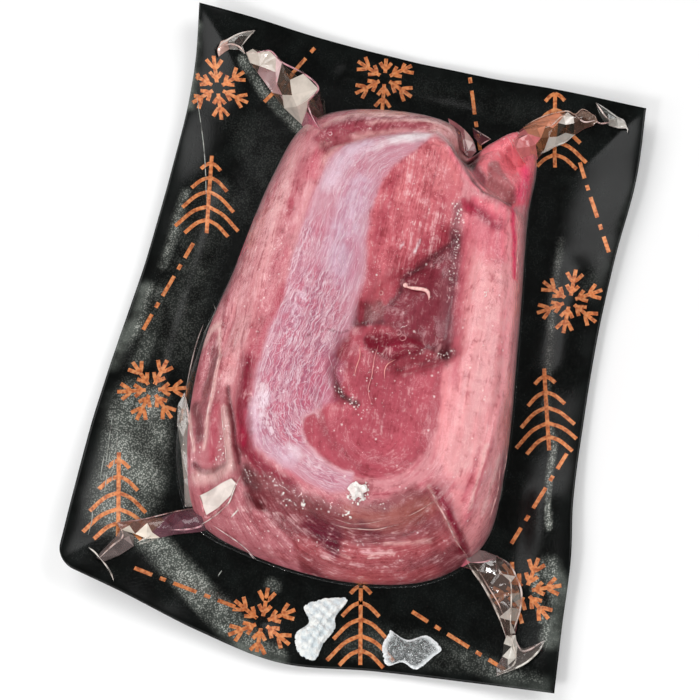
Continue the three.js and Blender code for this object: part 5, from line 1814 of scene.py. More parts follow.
@dataclass
class MeatCut:
    """The meat itself, a little under its film, with its fields of colour, among them painted shade and
    painted highlights.

    A stroke of torn skin, coarse fibres or frost is a path, a half width, a soft edge and a strength.
    """

    form: MeatForm
    cells: int = 300
    crest_share: float = 0.6
    under_film: float = 0.4
    crease_depth: float = 1.2
    bottom: float = 0.75
    low_inset: float = 0.995
    slope_power: float = 1.4
    turn_length: float = 38.0
    far_start: float = 400.0
    fibre_wave: Place = (14, 2.4)
    fibre_rise: float = 0.14
    lump_wave: float = 9
    lump_rise: float = 0.2
    least_gap: float = 0.15
    warp_wave: Place = (5, 8)
    streak_wave: Place = (22, 2.2)
    streak_tone: float = 0.08
    blush: float = 0.6
    skin_wave: Place = (4, 6)
    skin_wander: float = 0.9
    skin_reach: float = 9
    paint_seeds: tuple[int, int] = (5, 6)
    relief_seed: int = 8
    skin_seed: int = 12
    spine: Path = "14,97 15,20 18,-52"
    flow: Path = "30,112 6,99 -14,84 -22,64 -24,34 -27,6 -32,-24 -34,-48 -27,-62 -10,-73 8,-78 30,-80"
    torn: Strokes = (
        ("-26,8 -27,-20 -29,-40 -26,-54", 14, 14, 1.0),
        ("-36,40 -40,20 -43,-10", 4, 8, 0.8),
        ("-14,88 -20,60 -24,30", 10, 14, 0.3),
        ("-10,-72 0,-78", 4, 6, 0.6),
    )
    coarse: Strokes = (
        ("8,84 12,60 14,44", 16, 10, 0.8),
        ("10,-26 30,-40 18,-70", 12, 10, 0.2),
        ("-56,60 -60,10 -64,-30", 12, 12, 0.9),
        ("-30,-100 10,-108 50,-100", 10, 10, 0.8),
        ("54,40 58,-20 58,-60", 8, 10, 0.15),
        ("-30,105 0,112 24,108", 5, 6, 0.8),
    )
    frosty: Strokes = (
        ("30,69 34,64 32,58 35,54", 2.2, 3, 1.0),
        ("35,50 36,42 36,32 38,20", 1.6, 3, 0.7),
        ("26,-10 34,-8 41,-5", 2.2, 3, 0.8),
        ("-6,-33 2,-39 8,-43", 2.2, 3, 0.6),
        ("-38,-82 -30,-84 -12,-91 12,-91", 2.6, 5, 0.5),
        ("-54,-62 -54,-68 -57,-78", 2.0, 3, 0.6),
        ("9,-10 9,-24 12,-38", 3, 4, 0.4),
    )
    fields: tuple[Field, ...] = FIELDS

    def grid(self) -> tuple[Array, Array, Faces, list[int]]:
        """A square grid bent into the meat's outline.

        Returns:
            The coordinates of its places across and along, its faces, and the places round its rim in turn.
        """
        line = np.linspace(-1, 1, self.cells + 1)
        a, b = np.meshgrid(line, line, indexing="ij")
        wide = np.abs(a) >= np.abs(b)
        lead = np.where(wide, a, b)
        safe = np.where(lead == 0, 1, lead)
        direction = np.where(wide, math.pi / 4 * b / safe, math.pi / 2 - math.pi / 4 * a / safe)
        direction = (direction + np.where(lead < 0, math.pi, 0)).ravel()
        share = np.abs(lead).ravel()
        foot, crest = self.form.reaches(direction)
        side = np.clip((share - self.crest_share) / (1 - self.crest_share), 0, 1)
        inward = (1 - side) ** self.slope_power
        on_crest = crest * share / self.crest_share
        reach = np.where(share <= self.crest_share, on_crest, foot - inward * (foot - crest))
        x = self.form.centre[0] + reach * np.cos(direction)
        y = self.form.centre[1] + reach * np.sin(direction)
        last, stride = self.cells, self.cells + 1
        faces = [(i * stride + j, (i + 1) * stride + j, (i + 1) * stride + j + 1, i * stride + j + 1)
                 for i in range(last) for j in range(last)]
        rim = [i * stride for i in range(last)] + [last * stride + j for j in range(last)]
        rim += [i * stride + last for i in range(last, 0, -1)] + [j for j in range(last, 0, -1)]
        return x, y, faces, rim

    def fibres(self, x: Array, y: Array) -> Array:
        """Where places lie along and across the fibres, which run round the spine of the meat.

        Args:
            x: The places across the pack.
            y: The places along the pack.

        Returns:
            The length along the fibres, the distance from the spine and 0, for each place.
        """
        (top_x, top_y), (low_x, low_y) = places(self.spine)[[0, -1]]
        under = np.arctan2(x - low_x, low_y - y) * self.turn_length
        over = np.arctan2(x - top_x, y - top_y) * self.turn_length
        straight = np.where(x > low_x, 1.0, -1.0) * (self.turn_length * math.pi / 2 + (y - low_y))
        along = np.where(y < low_y, under, np.where(y > top_y, self.far_start + over, straight))
        return np.stack([along, path_distance(x, y, self.spine), np.zeros_like(x)], 1)

    def tones(self, x: Array, y: Array) -> Array:
        """The colours of places, from the fields laid over each other in turn.

        Args:
            x: The places across the pack.
            y: The places along the pack.

        Returns:
            Red, green, blue and 1 for each place.
        """
        grains = [Grain(seed) for seed in self.paint_seeds]
        warp = tuple(grain.waves(x, y, self.warp_wave) for grain in grains)
        streak = grains[0].waves(*self.fibres(x, y).T[:2], self.streak_wave, 2)
        blush = ramp(streak, -0.1, 0.7) * self.blush
        colour = np.array(light_of(Tone.SLOPE.value))
        layers = [(Tone.SLOPE_RED, blush)] + [(field.tone, field.at(x, y, warp)) for field in self.fields]
        for tone, share in layers:
            colour = colour * (1 - share[:, None]) + np.array(light_of(tone.value)) * share[:, None]
        return np.column_stack([colour * (1 + self.streak_tone * streak[:, None]), np.ones(len(x))])

    @staticmethod
    def mask(x: Array, y: Array, strokes: Strokes) -> Array:
        """The strongest of some soft strokes.

        Args:
            x: The places across.
            y: The places along.
            strokes: The strokes.

        Returns:
            A share from 0 to 1 for each place.
        """
        return np.max([strength * ramp(half - path_distance(x, y, path), -edge / 2, edge / 2)
                       for path, half, edge, strength in strokes], axis=0)

    def surface(self, x: Array, y: Array) -> Array:
        """The height of the meat under its film.

        Args:
            x: The places across the pack.
            y: The places along the pack.

        Returns:
            The height at each place, with the fibres' fine relief.
        """
        grain = Grain(self.relief_seed)
        fine = grain.waves(*self.fibres(x, y).T[:2], self.fibre_wave, 2) * self.fibre_rise
        fine += grain.waves(x, y, self.lump_wave, 1) * self.lump_rise
        meat = self.form.height_at(x, y, self.crease_depth) - self.under_film + fine
        return np.minimum(meat, self.form.height_at(x, y, FILM_CREASES) - self.least_gap)

    def build(self) -> None:
        """Makes the meat and dresses it."""
        x, y, faces, rim = self.grid()
        top = np.stack([x, y, self.surface(x, y)], 1)
        low = top[rim].copy()
        low[:, :2] = (low[:, :2] - self.form.centre) * self.low_inset + self.form.centre
        low[:, 2] = self.bottom
        start, count = len(top), len(rim)
        faces += [(rim[(i + 1) % count], rim[i], start + i, start + (i + 1) % count) for i in range(count)]
        faces += [(start + (i + 1) % count, start + i, start + count) for i in range(count)]
        points = np.concatenate([top, low, [(*self.form.centre, self.bottom)]])
        piece = mesh_object("meat", points, faces)
        x, y = points[:, 0], points[:, 1]
        set_field(piece, "tone", self.tones(x, y))
        set_field(piece, "fibre", self.fibres(x, y))
        along, across, _ = path_frame(x, y, smooth_points(self.flow, 6))
        set_field(piece, "flow", np.stack([along, across, np.zeros_like(x)], 1))
        wander = self.skin_wander * Grain(self.skin_seed).waves(x, y, self.skin_wave)
        skin = inside_depth(x + wander, y, smooth_points(SILVERSKIN_OUTLINE, 4, closed=True))
        set_field(piece, "silver", np.clip(skin, -self.skin_reach, self.skin_reach))
        for name, strokes in (("ragged", self.torn), ("fibrous", self.coarse), ("frosted", self.frosty)):
            set_field(piece, name, self.mask(x, y, strokes))
        meat_rules(piece, MeatFinish().material())


@dataclass
class LidFilm:
    """The clear film over the meat, down to the backing all round."""

    form: MeatForm
    pouch: PouchForm
    cut: MeatCut
    wrinkle: float = 0.12
    wrinkle_wave: Place = (40, 4.5)
    least_wrinkle: float = 0.35
    seed: int = 21
    skirt: tuple[Place, ...] = ((0.25, 0.5), (0.7, 0.15), (1.4, 0.0))
    over_backing: float = 0.1

    def build(self) -> None:
        """Makes the film and dresses it."""
        x, y, faces, rim = self.cut.grid()
        inward = self.form.inward(x, y)
        folds = 1 - np.abs(Grain(self.seed).waves(*self.cut.fibres(x, y).T[:2], self.wrinkle_wave, 2)) * 2
        on_slope = self.least_wrinkle + (1 - self.least_wrinkle) * (1 - ramp(inward, 0.75, 1.0))
        height = self.form.height_at(x, y, FILM_CREASES)
        height += self.wrinkle * folds * on_slope * ramp(inward, 0, 0.1)
        points = [np.stack([x, y, height], 1)]
        edge = np.stack([x[rim], y[rim]], 1)
        direction = edge - self.form.centre
        direction /= np.linalg.norm(direction, axis=1)[:, None]
        count, start, inner = len(rim), len(x), list(rim)
        for out, share in self.skirt:
            place = edge + direction * out
            ground = self.pouch.top_at(place[:, 0], place[:, 1]) + self.over_backing
            points.append(np.column_stack([place, ground + (self.form.wall - ground) * share]))
            ring = [start + i for i in range(count)]
            faces += [(inner[i - count + 1], inner[i], ring[i], ring[i - count + 1]) for i in range(count)]
            inner, start = ring, start + count
        piece = mesh_object("film_clear", np.concatenate(points), faces)
        meat_rules(piece, ClearFilmFinish().material())


@dataclass(frozen=True)
class Glaze:
    """How milky the folded film is over one part of it, and that milky colour: pale ones paint reflections of
    the lamps, a copper one the print.
    """

    colour: Colour
    haze: float
    outline: Path = ""

    def holds(self, x: float, y: float) -> bool:
        """Whether a place lies in this part; without an outline it is the whole film."""
        return not self.outline or bool(inside_depth(np.array(x), np.array(y), places(self.outline)) > 0)


@dataclass(frozen=True)
class Rim:
    """A thin folded edge of film. Its path has a rise over the ground at each place, or one rise for all."""

    path: Path
    half_width: float = 0.4
    colour: Colour = (232, 206, 204)
    on_meat: bool = False
    rise: float = 0.0

    def line(self, pouch: PouchForm, meat: MeatForm) -> Array:
        """The places along the rim.

        Args:
            pouch: The form of the backing.
            meat: The form of the meat.

        Returns:
            The curve, over the film on the meat or over the backing.
        """
        path = places(self.path)
        if path.shape[1] == 2:
            path = np.column_stack([path, np.full(len(path), self.rise)])
        curve = smooth_points(path, 10)
        curve[:, 2] += (meat.height_at if self.on_meat else pouch.top_at)(curve[:, 0], curve[:, 1])
        return curve


@dataclass
class FilmGusset:
    """One gusset: clear film drawn off the meat into flat facets, with reflections painted into its pale
    facets, and pale folded edges.
    """

    name: str
    outline: Path
    folds: Path
    glazes: tuple[Glaze, ...]
    rims: tuple[Rim, ...]
    seed: int = 1
    crumple: float = 0.25
    crumple_wave: float = 5
    crumple_seed: int = 40
    sag: float = 0.5
    haze_spread: float = 0.25
    cells: int = 9
    thickness: float = 0.14
    most_haze: float = 0.95
    on_meat: bool = False

    def facets(self) -> tuple[Array, Faces]:
        """The corner places and the triangles that they span."""
        corners = places(f"{self.outline} {self.folds}")
        border = list(range(len(places(self.outline))))
        x, y = corners[border, 0], corners[border, 1]
        if np.sum(x * np.roll(y, -1) - y * np.roll(x, -1)) < 0:
            border.reverse()
        flat = [Vector((px, py)) for px, py, _ in corners]
        spots, _, triangles, sources, _, _ = delaunay_2d_cdt(flat, [], [border], 1, 1e-5)
        rise = np.array([corners[source[0], 2] if source else 1.0 for source in sources])
        return np.column_stack([[tuple(spot) for spot in spots], rise]), [tuple(part) for part in triangles]

    def build(self, pouch: PouchForm, meat: MeatForm) -> None:
        """Makes the gusset as a thin closed sheet of film and dresses it.

        The rises of its places count from the backing, or from the film over the meat.

        Args:
            pouch: The form of the backing that it stands on.
            meat: The form of the meat that it leaves.
        """
        random = np.random.default_rng(self.seed)
        corners, triangles = self.facets()
        if not self.on_meat:
            corners[:, 2] += pouch.top_at(corners[:, 0], corners[:, 1])
        number: dict[tuple[int, ...], tuple[int, Array]] = {}
        faces, owners = [], []
        for owner, triangle in enumerate(triangles):
            made = self.split(corners[list(triangle)], random.uniform(-1, 1) * self.sag, number)
            faces += made
            owners += [owner] * len(made)
        upper = np.array([place for _, place in number.values()])
        x, y = upper[:, 0], upper[:, 1]
        if self.on_meat:
            upper[:, 2] += meat.height_at(x, y)
        grain = Grain(self.seed + self.crumple_seed)
        upper[:, 2] += grain.waves(x, y, self.crumple_wave, 2) * self.crumple
        lower = upper - self.normals(upper, faces) * self.thickness
        count, sides = len(upper), self.border(faces)
        every = faces + [tuple(i + count for i in reversed(face)) for face in faces]
        every += [(b, a, a + count, b + count) for a, b in sides]
        piece = mesh_object(self.name, np.concatenate([upper, lower]), every)
        self.paint(piece, corners, triangles, np.array(owners * 2 + [owners[0]] * len(sides)), random)
        meat_rules(piece, FoldedFilmFinish().material())

    def split(self, corners: Array, sag: float, number: dict[tuple[int, ...], tuple[int, Array]]) -> Faces:
        """Divides one facet into small faces.

        Args:
            corners: The places of the facet's corners.
            sag: How far its middle sinks, in millimetres.
            number: The number and the place by the rounded coordinates, which grows.

        Returns:
            The faces.
        """
        a, b, c = corners
        if np.cross(b[:2] - a[:2], c[:2] - a[:2]) < 0:
            b, c = c, b
        steps = self.cells
        rows = []
        for i in range(steps + 1):
            rows.append([])
            for j in range(steps + 1 - i):
                s, t = i / steps, j / steps
                place = a + (b - a) * s + (c - a) * t - (0, 0, sag * 27 * s * t * (1 - s - t) / 3)
                key = tuple(np.round(place * 1000).astype(int))
                rows[-1].append(number.setdefault(key, (len(number), place))[0])
        faces = []
        for i in range(steps):
            for j in range(steps - i):
                faces.append((rows[i][j], rows[i + 1][j], rows[i][j + 1]))
                if j < steps - i - 1:
                    faces.append((rows[i + 1][j], rows[i + 1][j + 1], rows[i][j + 1]))
        return faces

    @staticmethod
    def normals(points: Array, faces: Faces) -> Array:
        """The direction out of a sheet.

        Args:
            points: The sheet's places.
            faces: Its triangles.

        Returns:
            The direction at each place, one millimetre long.
        """
        index = np.array(faces)
        a, b, c = (points[index[:, i]] for i in range(3))
        out = np.zeros_like(points)
        for i in range(3):
            np.add.at(out, index[:, i], np.cross(b - a, c - a))
        return out / np.maximum(np.linalg.norm(out, axis=1), 1e-9)[:, None]

    @staticmethod
    def border(faces: Faces) -> list[tuple[int, int]]:
        """The edges that only one face has, each in that face's direction."""
        edges = {(face[i], face[(i + 1) % len(face)]) for face in faces for i in range(len(face))}
        return [edge for edge in sorted(edges) if (edge[1], edge[0]) not in edges]

    def paint(self, piece: Thing, corners: Array, triangles: Faces, owners: Array,
              random: np.random.Generator) -> None:
        """Gives each facet its milky colour, which paints reflections into pale facets, and a crisp fold
        towards its neighbours.

        Args:
            piece: The gusset's film.
            corners: The places of the facets' corners.
            triangles: The corner numbers of each facet.
            owners: The facet of each face.
            random: The source of each facet's own tone.
        """
        facet_tints, hazes = [], []
        for triangle in triangles:
            x, y, _ = corners[list(triangle)].mean(axis=0)
            glaze = [item for item in self.glazes if item.holds(x, y)][-1]
            tone = 1 + random.uniform(-0.5, 0.5) * self.haze_spread
            facet_tints.append((*(min(1.0, part * tone) for part in light_of(glaze.colour)), 1.0))
            haze = glaze.haze * (1 + random.uniform(-1, 1) * self.haze_spread)
            hazes.append(min(self.most_haze, haze))
        set_field(piece, "haze", np.array(hazes)[owners], "FACE")
        set_field(piece, "stain", np.array(facet_tints)[owners], "FACE")
        mesh = piece.data
        first: dict[int, int] = {}
        sharp = np.zeros(len(mesh.edges), bool)
        for face in mesh.polygons:
            for loop in face.loop_indices:
                edge = mesh.loops[loop].edge_index
                sharp[edge] |= first.setdefault(edge, owners[face.index]) != owners[face.index]
        mesh.attributes.new("sharp_edge", "BOOLEAN", "EDGE").data.foreach_set("value", sharp)


def tube_recipe(name: str) -> GeometryRecipe:
    """A tree for strands.

    Args:
        name: The tree's name.

    Returns:
        The tree, which lays a round strand along each line of a mesh, as thick as its field thick says.
    """
    made = GeometryRecipe(name)
    step, sides = made.size("Step"), made.size("Sides", "NodeSocketInt")
    lines = made.add("MeshToCurve", Mesh=made.start)
    even = made.add("ResampleCurve", {"mode": "LENGTH"}, Curve=lines, Length=step)
    ring = made.add("CurvePrimitiveCircle", {"mode": "RADIUS"}, Resolution=sides, Radius=1.0)
    thick = made.field("thick")
    made.finish(made.add("CurveToMesh", Curve=even, Profile_Curve=ring, Scale=thick, Fill_Caps=True))
    return made


@dataclass
class Strands:
    """Fine strands along lines, as one piece."""

    name: str
    step: float
    sides: int

    def __post_init__(self) -> None:
        """Starts without strands."""
        self.lines, self.widths, self.tints = [], [], []

    def add(self, line: Array, width: Array, tint: Sequence[float]) -> None:
        """Adds one strand.

        Args:
            line: Its places, in the drawing's millimetres.
            width: Its half width at each of them.
            tint: Its colour.
        """
        self.lines.append(line)
        self.widths.append(width)
        self.tints += [(*light_of(tint), 1.0)] * len(line)

    def build(self, finish: Finish) -> None:
        """Makes all strands.

        Args:
            finish: Their finish.
        """
        points = row_metres(np.concatenate(self.lines)).tolist()
        ends = set(np.cumsum([len(line) for line in self.lines]) - 1)
        source = new_object("strands", points, [(i, i + 1) for i in range(len(points)) if i not in ends], [])
        set_field(source, "thick", np.concatenate(self.widths) * MM)
        set_field(source, "stain", np.array(self.tints))
        piece = tube_recipe("strands_of_" + self.name).run(source, self.name, Step=self.step * MM,
                                                            Sides=self.sides, Finish=finish)
        piece.data.shade_smooth()
        meat_rules(piece)


@dataclass
class FilmRims:
    """Folded edges of film, or shreds of tissue, as fine strands."""

    name: str
    rims: Sequence[Rim]
    step: float = 0.6
    sides: int = 8
    taper: float = 3
    tip: float = 0.12

    def build(self, pouch: PouchForm, meat: MeatForm, finish: Finish) -> None:
        """Makes the strands and dresses them.

        Args:
            pouch: The form of the backing.
            meat: The form of the meat.
            finish: The strands' finish.
        """
        strands = Strands(self.name, self.step, self.sides)
        for rim in self.rims:
            line = rim.line(pouch, meat)
            along = np.linspace(0, 1, len(line))
            thin = np.minimum(1, self.taper * np.minimum(along, 1 - along) + self.tip)
            strands.add(line, rim.half_width * thin, rim.colour)
        strands.build(finish)


@dataclass
class TissueThreads:
    """Fine pale threads of torn tissue, which follow the silverskin's own flow."""

    cut: MeatCut
    count: int = 850
    seed: int = 9
    lengths: tuple[float, float] = (4.0, 15.0)
    widths: tuple[float, float] = (0.05, 0.13)
    tries: int = 14
    inset: float = 0.4
    past_edge: float = 0.3
    least_steps: int = 4
    step: float = 1.1
    sway: float = 0.75
    sway_wave: float = 5
    sway_seed: int = 15
    sides: int = 5
    pale: Colour = (240, 222, 230)
    pink: Colour = (222, 172, 188)

    def __post_init__(self) -> None:
        """Draws the silverskin's outline."""
        self.outline = smooth_points(SILVERSKIN_OUTLINE, 4, closed=True)

    def starts(self, random: np.random.Generator) -> Array:
        """Random places on the silverskin.

        Args:
            random: The source of the places.

        Returns:
            The places, closer together where the skin is torn.
        """
        least, most = self.outline.min(axis=0), self.outline.max(axis=0)
        spots = random.uniform(least, most, (self.count * self.tries, 2))
        x, y = spots.T
        wanted = 0.1 + 0.9 * self.cut.mask(x, y, self.cut.torn)
        kept = (inside_depth(x, y, self.outline) > self.inset) & (random.uniform(0, 1, len(x)) < wanted)
        return spots[kept][: self.count]

    def build(self) -> None:
        """Makes the threads and dresses them."""
        random = np.random.default_rng(self.seed)
        flow = smooth_points(self.cut.flow, 6)
        place = self.starts(random)
        count = len(place)
        grain = Grain(self.sway_seed)
        torn = self.cut.mask(*place.T, self.cut.torn)
        lean = random.normal(0, 1, count) * (0.08 + 0.4 * torn)
        length = random.uniform(*self.lengths, count) * random.uniform(0.4, 1, count) * (1 - 0.45 * torn)
        steps = (length / self.step).astype(int) + 2
        track = [place]
        for _ in range(int(steps.max())):
            x, y = place.T
            turn = path_frame(x, y, flow)[2] + lean + self.sway * grain.waves(x, y, self.sway_wave, 2)
            place = place + self.step * np.stack([np.cos(turn), np.sin(turn)], 1)
            track.append(place)
        track = np.stack(track, 1)
        flat = track.reshape(-1, 2).T
        inside = (inside_depth(*flat, self.outline) > -self.past_edge).reshape(track.shape[:2])
        height = self.cut.surface(*flat).reshape(track.shape[:2])
        strands = Strands("tissue_threads", self.step, self.sides)
        for index in range(count):
            length = min(int(np.argmin(np.append(inside[index], False))), steps[index])
            if length < self.least_steps:
                continue
            width = 0.35 + 0.65 * np.sin(math.pi * np.linspace(0, 1, length))
            width = random.uniform(*self.widths) * width
            share = random.uniform(0, 1)
            tint = [round(a + (b - a) * share) for a, b in zip(self.pale, self.pink)]
            line = np.column_stack([track[index, :length], height[index, :length] + 0.5 * width])
            strands.add(line, width, tint)
        strands.build(TissueFinish().material())


@dataclass
class FrostCrumbs:
    """Crumbs and glittering grains of frost, scattered over the meat's film.

    A cluster is its path, its spread, its count, and its grains' least and most size.
    """

    form: MeatForm
    seed: int = 17
    roughness: float = 1.1
    raised: float = 0.35
    girth_spread: Place = (0.7, 1.2)
    clusters: tuple = (
        ("30,68 34,64 31,58 35,54 36,44 35,32", 2.0, 46, 0.14, 0.36),
        ("28,-8 34,-7 41,-5 45,-2", 2.0, 30, 0.14, 0.4),
        ("-8,-32 -4,-35 2,-39 7,-42", 2.2, 24, 0.12, 0.34),
        ("-40,-82 -36,-83", 1.2, 7, 0.16, 0.42),
        ("-10,-92 -9,-91", 1.2, 6, 0.4, 0.95),
        ("-16,-92 -20,-88 -12,-93", 1.6, 9, 0.2, 0.45),
        ("11,-91 14,-92", 1.6, 9, 0.3, 0.7),
        ("10,-83 15,-86 20,-81 17,-76", 1.6, 40, 0.2, 0.7),
        ("22,-85 30,-84", 2.0, 6, 0.16, 0.4),
        ("-54,-64 -55,-68 -51,-78 -57,-79", 1.6, 14, 0.2, 0.5),
        ("-46,40 -50,0 -50,-30", 6.0, 26, 0.12, 0.3),
        ("-20,60 4,40 10,0 16,-30 30,-60", 14.0, 60, 0.1, 0.22),
        ("54,60 54,28 60,-20 60,-60", 7.0, 34, 0.12, 0.3),
        ("54,30 54,26", 1.2, 10, 0.16, 0.34),
        ("-40,-104 0,-108 40,-104", 6.0, 30, 0.12, 0.34),
    )

    def recipe(self) -> GeometryRecipe:
        """The tree that lays a rough grain at each place."""
        made = GeometryRecipe("scattered_grains")
        roughness = made.size("Roughness")
        ball = made.add("MeshIcoSphere", Radius=1.0, Subdivisions=2)
        noise = made.add("ShaderNodeTexNoise", Scale=1.7, Detail=2.0).outputs["Color"]
        push = made.scaled(made.vector("SUBTRACT", noise, (0.5, 0.5, 0.5)), roughness)
        rough = made.add("SetPosition", Geometry=ball, Offset=push)
        spin, girth = (made.field(name, "FLOAT_VECTOR") for name in ("spin", "girth"))
        turn = made.add("FunctionNodeEulerToRotation", Euler=spin)
        grains = made.add("InstanceOnPoints", Points=made.start, Instance=rough, Rotation=turn, Scale=girth)
        made.finish(grains)
        return made

    def build(self, finish: Finish) -> None:
        """Makes the crumbs and dresses them.

        Args:
            finish: Their finish.
        """
        random = np.random.default_rng(self.seed)
        spots, girths = [], []
        for path, spread, count, least, most in self.clusters:
            middles = even_points(places(path), random.uniform(0, 1, count))
            spots.append(middles + random.normal(0, spread / 2, (count, 2)))
            girths.append(least + (most - least) * random.uniform(0, 1, count) ** 2)
        place, girth = np.concatenate(spots), np.concatenate(girths)
        high = self.form.height_at(place[:, 0], place[:, 1], FILM_CREASES) + self.raised * girth
        source = mesh_object("crumb_places", np.column_stack([place, high]), [])
        set_field(source, "spin", random.uniform(0, 2 * math.pi, (len(place), 3)))
        girth = girth[:, None] * random.uniform(*self.girth_spread, (len(place), 3))
        set_field(source, "girth", girth * MM)
        piece = self.recipe().run(source, "frost_crumbs", Roughness=self.roughness, Finish=finish)
        join_rules(piece, ["meat_in_clear_film"])


@dataclass
class FrostFlake:
    """One flake or lump of frost with a ragged outline."""

    name: str
    node: str
    slot: str
    centre: Place
    outline: Path
    thickness: float
    unevenness: float
    on_meat: bool = False
    rings: int = 44
    spokes: int = 260
    clearance: float = 0.3
    ragged: float = 0.45
    ragged_wave: float = 1.6
    crisp_wave: float = 1.4
    crispness: float = 0.55
    foot: float = 0.5
    sunk: float = 0.3
    least_rise: float = 0.2
    white_rim: float = 0.72
    seed: int = 71

    def build(self, pouch: PouchForm, meat: MeatForm, finish: Finish) -> None:
        """Makes the flake and dresses it.

        Args:
            pouch: The form of the backing.
            meat: The form of the meat.
            finish: The frost's finish.
        """
        grain = Grain(self.seed)
        outline = places(self.outline)
        curve = smooth_points(np.concatenate([outline, outline[:1]]), 30)
        border = even_points(curve, np.linspace(0, 1, self.spokes + 1))[:-1]
        jag = 1 + self.ragged * 0.12 * grain.waves(*border.T, self.ragged_wave)
        centre = np.array(self.centre, float)
        border = (border - centre) * np.minimum(jag, 1.0)[:, None]
        shares = np.linspace(0, 1, self.rings + 1)[1:]
        spots = np.concatenate([[centre]] + [centre + border * share for share in shares])
        out = np.concatenate([[0.0], np.repeat(shares, self.spokes)])
        x, y = spots.T
        ground = (meat.height_at if self.on_meat else pouch.top_at)(x, y) + self.clearance
        bumps = np.sin(1.3 * x + 0.4 * y) * np.sin(1.1 * y - 0.5 * x) * self.unevenness
        crisp = grain.waves(x, y, self.crisp_wave) * self.unevenness * self.crispness
        dome = np.sqrt(1 - 0.85 * out**2) * (1 - 0.35 * out)
        rise = np.maximum(self.thickness + bumps + crisp - self.sunk, self.least_rise)
        upper = ground + self.foot + rise * dome
        points = np.concatenate([np.column_stack([spots, upper]), np.column_stack([spots, ground])])
        piece = mesh_object(self.name, points, self.faces(len(spots)))
        set_field(piece, "rim", np.tile(ramp(out, self.white_rim, 1.0), 2))
        piece.data.materials.append(finish)
        join_rules(piece, [self.node])

    def faces(self, count: int) -> Faces:
        """The faces of the flake.

        Args:
            count: How many places its top has.

        Returns:
            The faces of its top, its underside and its edge.
        """
        def ring(number: int, spoke: int) -> int:
            """The place of one spoke on one ring."""
            return 1 + number * self.spokes + spoke % self.spokes

        spokes, last = range(self.spokes), self.rings - 1
        top = [(0, ring(0, i), ring(0, i + 1)) for i in spokes]
        top += [(ring(row, i), ring(row + 1, i), ring(row + 1, i + 1), ring(row, i + 1))
                for row in range(last) for i in spokes]
        side = [(ring(last, i), ring(last, i) + count, ring(last, i + 1) + count, ring(last, i + 1))
                for i in spokes]
        return top + [tuple(i + count for i in reversed(face)) for face in top] + side


